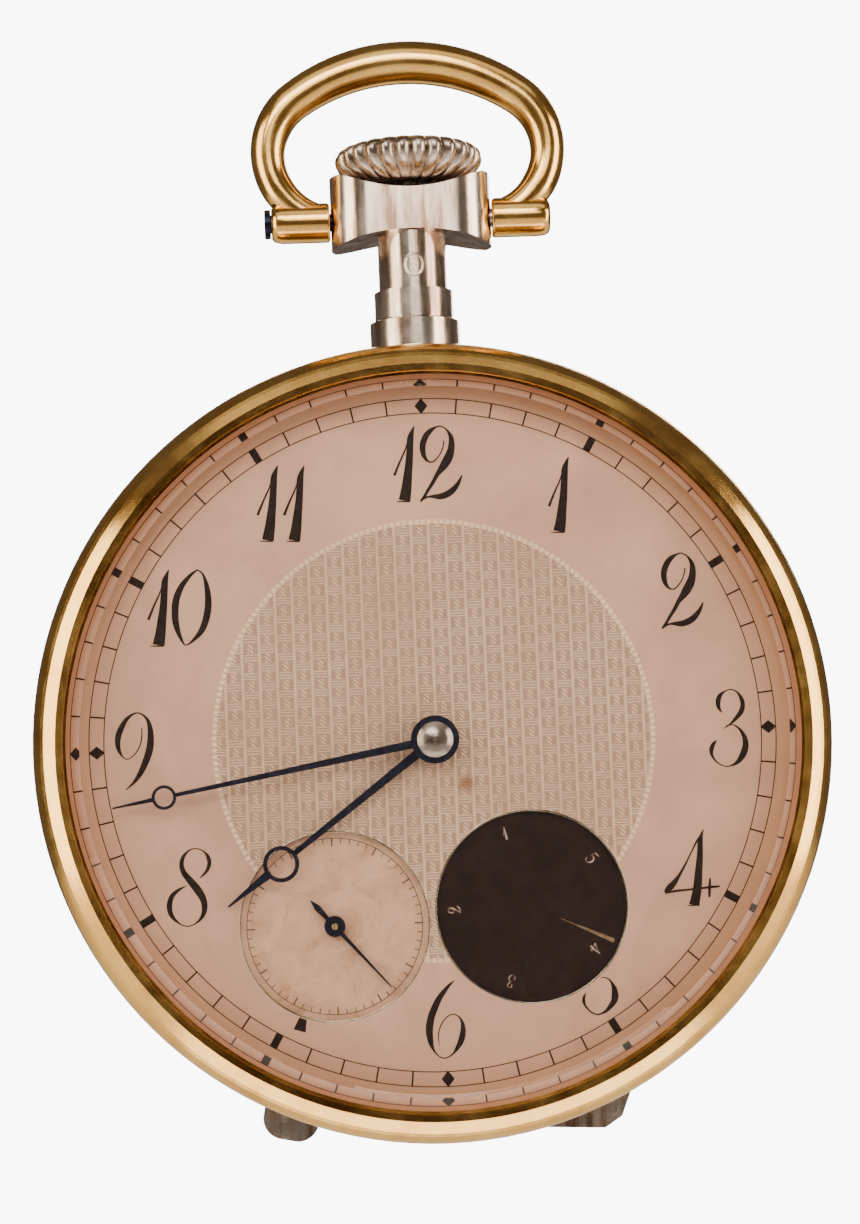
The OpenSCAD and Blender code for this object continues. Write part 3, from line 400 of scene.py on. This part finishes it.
def bow_path():
    """(x, z, radius of the wire) from the left tube over the top to the right tube"""
    cx, cz, r_side, crest = 4.7, PIVOT_Z + 4.5, 4.4, PIVOT_Z + 10.4
    rise = crest - cz
    drop = (cx * cx - (rise - r_side) ** 2) / (2 * (rise - r_side))
    top_r, top_z = rise + drop, cz - drop
    lean = math.degrees(math.atan2(cx, drop))
    pts = []
    for i in range(25):
        a = -68 + (158 - lean) * i / 24
        pts.append((cx + r_side * math.cos(math.radians(a)), cz + r_side * math.sin(math.radians(a))))
    for i in range(1, 13):
        a = 90 - lean * (1 - i / 12)
        pts.append((top_r * math.cos(math.radians(a)), top_z + top_r * math.sin(math.radians(a))))
    right = [(x, z, wire_radius(z - PIVOT_Z)) for x, z in pts]
    return [(-x, z, w) for x, z, w in right] + right[-2::-1]


def wire_radius(rise):
    """thin where the wire meets its tube, thickest at the crest"""
    return 0.95 + 0.16 * min(1, max(0, rise / 2.2)) + 0.28 * max(0, (rise - 3.8) / 6.6) ** 1.2


def sweep(solids, path, sides=24):
    n = len(path)
    for i, (x, z, w) in enumerate(path):
        x0, z0, _ = path[max(i - 1, 0)]
        x1, z1, _ = path[min(i + 1, n - 1)]
        t = Vector((x1 - x0, 0, z1 - z0)).normalized()
        out = Vector((t.z, 0, -t.x))
        for k in range(sides):
            a = 2 * math.pi * k / sides
            p = Vector((x, -STEM_H, z)) + out * w * math.cos(a) + Vector((0, w * math.sin(a), 0))
            solids.verts.append(p * MM)
    base = len(solids.verts) - n * sides
    for i in range(n - 1):
        for k in range(sides):
            j = (k + 1) % sides
            solids.faces.append([base + i * sides + k, base + i * sides + j,
                                 base + (i + 1) * sides + j, base + (i + 1) * sides + k])
    solids.faces.append([base + k for k in range(sides)])
    solids.faces.append([base + (n - 1) * sides + k for k in range(sides)])


def turned(solids, profile, side, sides=32):
    """a profile of (x, radius) turned about the bow's pivot line"""
    base = len(solids.verts)
    n = len(profile)
    for x, r in profile:
        for k in range(sides):
            a = 2 * math.pi * k / sides
            solids.verts.append(Vector((side * x, r * math.cos(a) - STEM_H, PIVOT_Z + r * math.sin(a))) * MM)
    for i in range(n):
        m = (i + 1) % n
        for k in range(sides):
            j = (k + 1) % sides
            solids.faces.append([base + i * sides + k, base + i * sides + j,
                                 base + m * sides + j, base + m * sides + k])


def gold_bow(gold):
    s = Solids()
    sweep(s, bow_path())
    tube = [(5.26, .63), (5.26, 1.14), (5.31, 1.23), (5.4, 1.29), (6.6, 1.29), (7.9, 1.29), (8.4, 1.28),
            (8.72, 1.22), (8.93, 1.1), (9.03, .95), (9.04, .63)]
    for side in (-1, 1):
        turned(s, tube, side)
    piece = s.build("bow_wire", "bow", gold, smooth=True)
    smooth_by_angle(piece, 32)
    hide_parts("bow")


def neck_mark(silver):
    """a small oval dish pressed in the front of the neck, left plain"""
    s = Solids()
    n, m = 48, 10
    for i in range(n):
        a = 2 * math.pi * i / n
        for k in range(m):
            b = 2 * math.pi * k / m
            u = (0.56 + 0.09 * math.cos(b)) * math.sin(a)
            v = (0.7 + 0.09 * math.cos(b)) * math.cos(a)
            lift = 2.22 * math.cos(u / 2.2) + 0.08 * math.sin(b)
            s.verts.append(Vector((2.22 * math.sin(u / 2.2), -STEM_H - lift, 30.5 + v)) * MM)
    for i in range(n):
        for k in range(m):
            s.faces.append([i * m + k, ((i + 1) % n) * m + k, ((i + 1) % n) * m + (k + 1) % m,
                            i * m + (k + 1) % m])
    s.build("neck_mark", "case", silver, smooth=True)


def spiral_hairspring(steel):
    lo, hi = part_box("hairspring")
    cx, cz = (lo.x + hi.x) / 2 / MM, (lo.z + hi.z) / 2 / MM
    r1 = (hi.x - lo.x) / 2 / MM
    h0, h1 = -hi.y / MM, -lo.y / MM
    s = Solids()
    turns, n = 11, 11 * 48
    left, right = [], []
    for i in range(n + 1):
        t = i / n
        r = 0.75 + (r1 - 0.05 - 0.75) * t
        x, y = polar(r, 360 * turns * t)
        k = 0.022 / r
        left.append((cx + x * (1 - k), cz + y * (1 - k)))
        right.append((cx + x * (1 + k), cz + y * (1 + k)))
    s.strip(left, right, h0 + 0.02, h1 - 0.02)
    piece = s.build("hairspring_coil", "balance", steel)
    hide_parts("hairspring")


# ---------- materials ----------

class Nodes:
    """A material's node tree, with short ways to make its nodes."""

    def __init__(self, name):
        self.material = bpy.data.materials.new(name)
        self.material.use_nodes = True
        self.tree = self.material.node_tree
        self.shader = self.tree.nodes["Principled BSDF"]
        self.out = self.tree.nodes["Material Output"]
        coord = self.tree.nodes.new("ShaderNodeTexCoord")
        scale = self.tree.nodes.new("ShaderNodeMapping")
        scale.inputs["Scale"].default_value = (1000, 1000, 1000)
        self.tree.links.new(coord.outputs["Object"], scale.inputs["Vector"])
        self.mm = scale.outputs["Vector"]

    def link(self, a, b):
        self.tree.links.new(a, b)

    def node(self, kind, **inputs):
        n = self.tree.nodes.new("ShaderNode" + kind)
        for k, v in inputs.items():
            n.inputs[k.replace("_", " ")].default_value = v
        return n

    def place(self):
        """x, z and the distance from the axis of the hands, in millimetres"""
        xyz = self.tree.nodes.new("ShaderNodeSeparateXYZ")
        self.link(self.mm, xyz.inputs[0])
        x, z = xyz.outputs["X"], xyz.outputs["Z"]
        return x, z, self.length(x, z)

    def length(self, a, b):
        squares = self.math("ADD", self.math("MULTIPLY", a, a), self.math("MULTIPLY", b, b))
        return self.math("SQRT", squares)

    def noise(self, scale, detail=3, rough=0.5, distortion=0, vector=None):
        n = self.node("TexNoise", Scale=scale, Detail=detail, Roughness=rough, Distortion=distortion)
        self.link(vector or self.mm, n.inputs["Vector"])
        return n.outputs["Fac"]

    def squash(self, x=1, y=1, z=1, vector=None):
        n = self.node("Mapping")
        n.inputs["Scale"].default_value = (x, y, z)
        self.link(vector or self.mm, n.inputs["Vector"])
        return n.outputs["Vector"]

    def math(self, op, a, b=None, c=None):
        n = self.tree.nodes.new("ShaderNodeMath")
        n.operation = op
        for i, v in enumerate((a, b, c)):
            if v is None:
                continue
            if isinstance(v, (int, float)):
                n.inputs[i].default_value = v
            else:
                self.link(v, n.inputs[i])
        return n.outputs[0]

    def ramp(self, fac, stops):
        n = self.tree.nodes.new("ShaderNodeValToRGB")
        e = n.color_ramp.elements
        while len(e) < len(stops):
            e.new(0.5)
        for el, (pos, col) in zip(e, stops):
            el.position = pos
            el.color = (*col, 1) if len(col) == 3 else col
        self.link(fac, n.inputs["Fac"])
        return n.outputs["Color"]

    def levels(self, fac, lo, hi, a=0.0, b=1.0):
        n = self.node("MapRange")
        for k, v in (("From Min", lo), ("From Max", hi), ("To Min", a), ("To Max", b)):
            n.inputs[k].default_value = v
        self.link(fac, n.inputs["Value"])
        return n.outputs["Result"]

    def mix(self, fac, a, b):
        n = self.tree.nodes.new("ShaderNodeMix")
        n.data_type = "RGBA"
        for i, v in ((0, fac), (6, a), (7, b)):
            if isinstance(v, (int, float)):
                n.inputs[i].default_value = v
            elif isinstance(v, tuple):
                n.inputs[i].default_value = (*v, 1)
            else:
                self.link(v, n.inputs[i])
        return n.outputs[2]

    def bump(self, height, strength, distance):
        n = self.node("Bump", Strength=strength, Distance=distance * MM)
        self.link(height, n.inputs["Height"])
        if self.shader.inputs["Normal"].is_linked:
            self.link(self.shader.inputs["Normal"].links[0].from_socket, n.inputs["Normal"])
        self.link(n.outputs["Normal"], self.shader.inputs["Normal"])

    def set(self, **values):
        for k, v in values.items():
            s = self.shader.inputs[k.replace("_", " ")]
            if isinstance(v, (int, float)):
                s.default_value = v
            elif isinstance(v, tuple):
                s.default_value = (*v, 1)
            else:
                self.link(v, s)
        return self.material


def polished(name, light, dark, rough=(0.12, 0.3), patch=0.35, scratch=0.25):
    """polished metal with handling haze, tiny scratches and tarnish in patches"""
    m = Nodes(name)
    cloud = m.noise(patch, 5, 0.6, 0.4)
    fine = m.noise(9, 4, 0.65, vector=m.squash(1, 1, 0.18))
    hair = m.noise(28, 3, 0.7, 1.2, vector=m.squash(0.15, 1, 1))
    both = m.math("ADD", m.math("MULTIPLY", cloud, 0.7), m.math("MULTIPLY", fine, 0.3))
    color = m.ramp(both, [(0.36, dark), (0.62, light)])
    roughness = m.levels(m.math("ADD", m.math("MULTIPLY", cloud, 0.6), m.math("MULTIPLY", hair, 0.4)),
                         0.35, 0.7, rough[0], rough[1])
    m.bump(hair, scratch, 0.006)
    m.bump(fine, 0.3, 0.012)
    return m.set(Base_Color=color, Roughness=roughness, Metallic=1.0)


def tarnished_silver():
    """pendant silver: bright, with brown tarnish in soft upright bands and a few spots"""
    m = Nodes("pendant_silver")
    cloud = m.noise(0.5, 4, 0.55, 0.2)
    bands = m.noise(1.1, 4, 0.6, 0.3, vector=m.squash(1, 1, 0.12))
    spots = m.noise(4, 4, 0.7)
    base = m.ramp(bands, [(0.36, (0.4, 0.26, 0.18)), (0.48, (0.74, 0.58, 0.45)), (0.62, (0.92, 0.82, 0.7))])
    stain = m.levels(spots, 0.62, 0.74)
    color = m.mix(m.math("MULTIPLY", stain, 0.5), base, (0.24, 0.15, 0.09))
    m.bump(m.noise(24, 3, 0.7), 0.12, 0.006)
    m.bump(spots, 0.2, 0.02)
    return m.set(Base_Color=color, Roughness=m.levels(cloud, 0.3, 0.7, 0.24, 0.13), Metallic=1.0)


def turned_metal(name, light, dark, rough=(0.2, 0.4), lines=14):
    """metal with fine straight graining"""
    m = Nodes(name)
    grain = m.noise(lines, 3, 0.7, vector=m.squash(1, 1, 0.05))
    cloud = m.noise(0.6, 4, 0.6)
    color = m.ramp(m.math("ADD", m.math("MULTIPLY", grain, 0.5), m.math("MULTIPLY", cloud, 0.5)),
                   [(0.35, dark), (0.65, light)])
    m.bump(grain, 0.4, 0.01)
    return m.set(Base_Color=color, Roughness=m.levels(grain, 0.3, 0.7, rough[0], rough[1]), Metallic=1.0)


def striped_nickel():
    """bridges: nickel with broad polished stripes"""
    m = Nodes("striped_nickel")
    wave = m.node("TexWave", Scale=0.16, Distortion=0.4, Detail=1)
    wave.bands_direction = "DIAGONAL"
    m.link(m.mm, wave.inputs["Vector"])
    grain = m.noise(20, 3, 0.7, vector=m.squash(1, 1, 0.1))
    color = m.ramp(wave.outputs["Fac"], [(0.1, (0.5, 0.47, 0.42)), (0.9, (0.72, 0.7, 0.66))])
    m.bump(grain, 0.3, 0.008)
    m.bump(wave.outputs["Fac"], 0.35, 0.05)
    return m.set(Base_Color=color, Roughness=m.levels(grain, 0.3, 0.7, 0.2, 0.36), Metallic=1.0)


def blued():
    m = Nodes("blued_steel")
    cloud = m.noise(1.4, 5, 0.6, 0.5)
    fine = m.noise(14, 3, 0.6)
    color = m.ramp(cloud, [(0.3, (0.008, 0.009, 0.016)), (0.55, (0.012, 0.015, 0.034)),
                           (0.75, (0.03, 0.022, 0.028))])
    m.bump(fine, 0.4, 0.008)
    return m.set(Base_Color=color, Roughness=m.levels(fine, 0.3, 0.7, 0.22, 0.42), Metallic=0.85)


def ink(name, dark, brown):
    """printed enamel, a little worn"""
    m = Nodes(name)
    patch = m.noise(4, 5, 0.7)
    color = m.ramp(patch, [(0.35, dark), (0.7, brown)])
    m.bump(m.noise(22, 3), 0.3, 0.004)
    return m.set(Base_Color=color, Roughness=m.levels(patch, 0.3, 0.7, 0.35, 0.6), Specular_IOR_Level=0.08)


def wave_of(m, value, period, shift=0.0):
    """a sine of the value, one wave per period"""
    turns = m.math("DIVIDE", value, period)
    return m.math("SINE", m.math("MULTIPLY", m.math("ADD", turns, shift), 2 * math.pi))


def guilloche(m, x, z):
    """height of the engine turning: twisted cords between flat bands, and on each band
    groups of level lines that take turns with slanted beads, offset from band to band"""
    pitch, cord_w = 1.09, 0.24
    column = m.math("DIVIDE", x, pitch)
    index = m.math("FLOOR", column)
    u = m.math("SUBTRACT", column, index)
    on_cord = m.math("LESS_THAN", u, cord_w)
    round_ = m.math("SINE", m.math("MULTIPLY", u, math.pi / cord_w))
    strand = wave_of(m, m.math("ADD", z, m.math("MULTIPLY", u, 0.55)), 0.185)
    cord = m.math("MULTIPLY", round_, m.math("ADD", m.math("MULTIPLY", strand, 0.3), 0.75))
    odd = m.math("MULTIPLY", m.math("MODULO", m.math("ABSOLUTE", index), 2), 0.5)
    place = m.math("FRACT", m.math("ADD", m.math("DIVIDE", z, 1.17), m.math("ADD", odd, 40)))
    lines = m.math("ADD", m.math("MULTIPLY", wave_of(m, z, 0.167), 0.3), 0.35)
    off = m.math("ABSOLUTE", m.math("SUBTRACT", u, 0.62))
    slant = m.math("ADD", z, m.math("MULTIPLY", m.math("SUBTRACT", u, 0.62), 0.9))
    bead = m.math("MULTIPLY", m.levels(off, 0.1, 0.2, 1, 0),
                  m.math("ADD", m.math("MULTIPLY", wave_of(m, slant, 0.27), 0.4), 0.45))
    band = m.mix(m.math("LESS_THAN", place, 0.47), bead, lines)
    return m.mix(on_cord, band, cord)


def dial_metal():
    """silvered dial, frosted, warm with age, with the engine turned middle and its beaded border; painted
    shade in the turning's grooves and towards the rim, painted highlights on the turning's ridges and on the
    beads
    """
    m = Nodes("dial_silver")
    x, z, r = m.place()
    middle = m.math("LESS_THAN", r, TURNED_R)
    border = m.math("MULTIPLY", m.math("LESS_THAN", r, BORDER_R), m.math("GREATER_THAN", r, TURNED_R))
    beads = m.math("MULTIPLY", m.math("ABSOLUTE", m.math("SINE", m.math("MULTIPLY", m.math(
        "ARCTAN2", z, x), 110))), border)
    age = m.noise(0.13, 7, 0.68, 0.4)
    grain = m.noise(26, 3, 0.75)
    spots = m.levels(m.noise(2.2, 5, 0.75), 0.66, 0.74)
    plain = m.ramp(age, [(0.35, (0.35, 0.205, 0.14)), (0.65, (0.45, 0.27, 0.185))])
    yellow = m.ramp(age, [(0.35, (0.52, 0.36, 0.24)), (0.65, (0.66, 0.47, 0.33))])
    turning = guilloche(m, x, z)
    # painted shade in the engine turning's grooves and painted highlight on its ridges: the colour follows
    # the turning's height
    turning_painted_shade = m.mix(m.levels(turning, 0.0, 0.75), (0.27, 0.17, 0.11), yellow)
    color = m.mix(middle, plain, turning_painted_shade)
    # painted highlight on the crests of the border's beads
    color = m.mix(m.math("MULTIPLY", beads, 0.6), color, (0.66, 0.52, 0.34))
    # painted shade of the bezel: the dial turns darker brown towards the rim, outside the minute track
    color = m.mix(m.levels(r, 20.2, 22.2, 0, 0.7), color, (0.27, 0.14, 0.075))
    color = m.mix(m.math("MULTIPLY", spots, 0.35), color, (0.26, 0.14, 0.08))
    color = m.mix(rust_spot(m, x, z), color, (0.16, 0.05, 0.015))
    m.bump(grain, 0.4, 0.01)
    m.bump(m.math("MULTIPLY", turning, middle), 1.0, 0.09)
    m.bump(beads, 0.7, 0.05)
    return m.set(Base_Color=color, Roughness=m.levels(grain, 0.3, 0.7, 0.42, 0.58), Metallic=0.35)


def rust_spot(m, x, z):
    """a soft stain just below the hands"""
    dx, dz = m.math("SUBTRACT", x, 1.9), m.math("ADD", z, 2.8)
    away = m.length(dx, dz)
    return m.levels(m.math("ADD", away, m.math("MULTIPLY", m.noise(3, 4), 0.5)), 0.45, 0.95, 0.75, 0)


def seconds_metal():
    """the sunk seconds dial: the same silvering, more stained"""
    m = Nodes("seconds_silver")
    age = m.noise(0.45, 6, 0.7, 0.6)
    spots = m.levels(m.noise(3.0, 5, 0.8), 0.6, 0.74)
    color = m.ramp(age, [(0.3, (0.3, 0.16, 0.09)), (0.5, (0.44, 0.265, 0.17)), (0.7, (0.52, 0.33, 0.22))])
    color = m.mix(m.math("MULTIPLY", spots, 0.5), color, (0.24, 0.15, 0.09))
    m.bump(m.noise(26, 3, 0.75), 0.25, 0.006)
    return m.set(Base_Color=color, Roughness=m.levels(age, 0.3, 0.7, 0.5, 0.38), Metallic=0.35)


def counter_brown():
    m = Nodes("counter_dark")
    patch = m.noise(1.1, 6, 0.7)
    specks = m.levels(m.noise(9, 4, 0.8), 0.66, 0.74)
    color = m.ramp(patch, [(0.3, (0.006, 0.003, 0.0025)), (0.7, (0.014, 0.007, 0.006))])
    color = m.mix(m.math("MULTIPLY", specks, 0.3), color, (0.06, 0.035, 0.025))
    m.bump(m.noise(20, 4, 0.7), 0.4, 0.01)
    return m.set(Base_Color=color, Roughness=m.levels(patch, 0.3, 0.7, 0.4, 0.6), Metallic=0.0,
                 Specular_IOR_Level=0.06)


def crystal_glass():
    """clear glass: a thin sheen on the flat, and refraction in its bevelled edge, whose brown tint is
    painted shade on the dial seen through it
    """
    m = Nodes("crystal_glass")
    smear = m.noise(0.25, 4, 0.6, 0.5)
    glass = m.shader
    r = m.place()[2]
    flat = m.ramp(smear, [(0.3, (0.985, 0.98, 0.97)), (0.7, (1, 1, 1))])
    # the brown tint on the bevelled edge is painted shade: it darkens the dial seen through the bevel,
    # standing in for the bezel's shadow
    m.set(Base_Color=m.mix(m.levels(r, 21.85, 22.3), flat, (0.82, 0.66, 0.55)),
          Roughness=m.levels(smear, 0.35, 0.75, 0.0, 0.03), Metallic=0.0,
          Transmission_Weight=1.0, IOR=1.46)
    clear = m.node("BsdfTransparent")
    path = m.tree.nodes.new("ShaderNodeLightPath")
    mix = m.tree.nodes.new("ShaderNodeMixShader")
    m.link(path.outputs["Is Shadow Ray"], mix.inputs[0])
    m.link(glass.outputs[0], mix.inputs[1])
    m.link(clear.outputs[0], mix.inputs[2])
    m.link(mix.outputs[0], m.out.inputs["Surface"])
    return m.material


def ruby():
    m = Nodes("ruby")
    color = m.ramp(m.noise(3, 3), [(0.3, (0.35, 0.01, 0.04)), (0.7, (0.6, 0.03, 0.08))])
    return m.set(Base_Color=color, Roughness=0.08, IOR=1.76, Coat_Weight=0.3)


def floor_material():
    m = Nodes("pale_floor")
    color = m.ramp(m.noise(0.02, 3), [(0.3, (0.8, 0.79, 0.78)), (0.7, (0.84, 0.835, 0.83))])
    return m.set(Base_Color=color, Roughness=0.8)


GOLD = ((1.0, 0.64, 0.19), (0.82, 0.44, 0.11))


def dress_frame():
    """every CAD node that shows gets its material"""
    gold = polished("rolled_gold", *GOLD, rough=(0.1, 0.24))
    steel = turned_metal("bright_steel", (0.6, 0.6, 0.6), (0.38, 0.37, 0.36))
    brass = turned_metal("gilt_brass", (0.78, 0.58, 0.26), (0.55, 0.37, 0.13))
    inner = polished("inner_silver", (0.7, 0.67, 0.62), (0.5, 0.45, 0.4), rough=(0.15, 0.3))
    looks = {
        "gold": gold, "steel": steel, "brass": brass, "case_silver": tarnished_silver(),
        "nickel": striped_nickel(), "blued_steel": blued(), "dial_silver": dial_metal(),
        "counter_dark": counter_brown(), "crystal": crystal_glass(), "ruby": ruby(),
    }
    own = {"seconds_dial": seconds_metal(), "dust_cover": inner,
           "cannon_pinion": polished("cap_steel", (0.34, 0.29, 0.25), (0.2, 0.16, 0.13)),
           "ratchet_wheel": polished("wheel_steel", (0.6, 0.6, 0.6), (0.42, 0.41, 0.4), patch=1.2)}
    for part in frame["record"]["subparts"]:
        paint(part["node"], own.get(part["node"], looks[part["material_slot"]]))
    return looks


def paint(name, material):
    piece = frame["nodes"][name]
    piece.data.materials.clear()
    piece.data.materials.append(material)
    smooth_by_angle(piece, 30)


# ---------- studio ----------

def studio():
    world = bpy.data.worlds.new("studio")
    bpy.context.scene.world = world
    world.use_nodes = True
    t = world.node_tree
    bg = t.nodes["Background"]
    bg.inputs["Color"].default_value = (0.30, 0.25, 0.22, 1)
    bg.inputs["Strength"].default_value = 0.4
    seen = t.nodes.new("ShaderNodeBackground")
    seen.inputs["Color"].default_value = (1, 1, 1, 1)
    seen.inputs["Strength"].default_value = 9
    path = t.nodes.new("ShaderNodeLightPath")
    mix = t.nodes.new("ShaderNodeMixShader")
    t.links.new(path.outputs["Is Camera Ray"], mix.inputs[0])
    t.links.new(bg.outputs[0], mix.inputs[1])
    t.links.new(seen.outputs[0], mix.inputs[2])
    t.links.new(mix.outputs[0], t.nodes["World Output"].inputs["Surface"])


def softbox(name, at, towards, size, power, color):
    light = bpy.data.lights.new(name, "AREA")
    light.shape = "RECTANGLE"
    light.size, light.size_y = size[0] * MM, size[1] * MM
    light.energy = power
    light.color = color
    lamp = bpy.data.objects.new(name, light)
    lamp.location = Vector(at) * MM
    way = (Vector(towards) - Vector(at)).normalized()
    lamp.rotation_mode = "QUATERNION"
    lamp.rotation_quaternion = way.to_track_quat("-Z", "Y")
    bpy.context.scene.collection.objects.link(lamp)
    return lamp


# name, place, aim, size, watts and colour
BOXES = [
    ("left_box", (-260, -150, 40), (0, -6, 0), (160, 300), 0.85, (1, 0.86, 0.68)),
    ("right_box", (260, -140, 20), (0, -6, 0), (140, 300), 0.95, (1, 0.86, 0.74)),
    ("head_box", (15, -330, 114), (0, -6, 36), (150, 44), 0.07, (1, 0.9, 0.8)),
    ("low_box", (0, -50, -88), (0, -30, 0), (160, 70), 0.09, (1, 0.92, 0.86)),
    ("top_box", (0, -90, 150), (0, -20, 20), (200, 60), 0.035, (1, 0.9, 0.8)),
    ("front_box", (-60, -330, 210), (0, 0, 0), (260, 120), 0.75, (1, 0.92, 0.84)),
    ("back_box", (80, 330, 160), (0, 0, 0), (300, 160), 1.0, (1, 0.95, 0.9)),
]


def floor():
    s = Solids()
    n, half, z = 24, 320, -95
    for j in range(n + 1):
        for i in range(n + 1):
            x, y = half * (2 * i / n - 1), half * (2 * j / n - 1) - 60
            dip = 0.4 * noise.noise(Vector((x / 90, y / 90, 0)))
            s.verts.append(Vector((x, y, z + dip)) * MM)
    s.faces = [[j * (n + 1) + i, j * (n + 1) + i + 1, (j + 1) * (n + 1) + i + 1, (j + 1) * (n + 1) + i]
               for j in range(n) for i in range(n)]
    mesh = bpy.data.meshes.new("floor")
    mesh.from_pydata(s.verts, [], s.faces)
    ob = bpy.data.objects.new("floor", mesh)
    bpy.context.scene.collection.objects.link(ob)
    mesh.materials.append(floor_material())


def camera():
    """the photograph's view: a little from below and from the left, turned slightly"""
    data = bpy.data.cameras.new("view")
    data.sensor_width = 36
    data.lens = 79.65
    data.clip_start, data.clip_end = 0.01, 10
    cam = bpy.data.objects.new("view", data)
    bpy.context.scene.collection.objects.link(cam)
    tilt, pan, roll = 0.066, 0.0455, -0.0405
    look = Vector((math.sin(pan) * math.cos(tilt), math.cos(pan) * math.cos(tilt), math.sin(tilt)))
    side = look.cross(Vector((0, 0, 1))).normalized()
    up = side.cross(look)
    right = side * math.cos(roll) + up * math.sin(roll)
    top = up * math.cos(roll) - side * math.sin(roll)
    m = Matrix((right, top, -look)).transposed().to_4x4()
    m.translation = Vector((-7.68, -179.2, -3.2)) * MM
    cam.matrix_world = m
    bpy.context.scene.camera = cam


def main():
    looks = dress_frame()
    black = ink("dial_ink", (0.004, 0.0025, 0.002), (0.016, 0.009, 0.006))
    pale = ink("pale_ink", (0.24, 0.17, 0.13), (0.34, 0.26, 0.2))
    gilt = polished("gilt_edge", (0.85, 0.6, 0.35), (0.55, 0.34, 0.16))
    edge = polished("cut_edge", (0.8, 0.7, 0.52), (0.5, 0.4, 0.27))
    dial_numerals(black)
    dial_track(black)
    seconds_track(ink("seconds_ink", (0.05, 0.03, 0.02), (0.12, 0.08, 0.05)))
    rim_edge("seconds_edge", SECONDS_AT, 5.9, edge)
    rim_edge("counter_edge", COUNTER_AT, 6.01, edge)
    counter_marks(black, pale, gilt)
    fluted_crown(polished("crown_silver", (0.62, 0.52, 0.44), (0.2, 0.14, 0.1),
                          rough=(0.18, 0.36), patch=0.9))
    gold_bow(looks["gold"])
    neck_mark(looks["case_silver"])
    spiral_hairspring(looks["blued_steel"])
    for name in ("hour_hand", "minute_hand", "seconds_hand"):
        soften(frame["nodes"][name], 0.03, 50)
    for name in ("stand_feet", "pendant"):
        soften(frame["nodes"][name], 0.12, 40)
    studio()
    for box in BOXES:
        softbox(*box)
    floor()
    camera()


main()
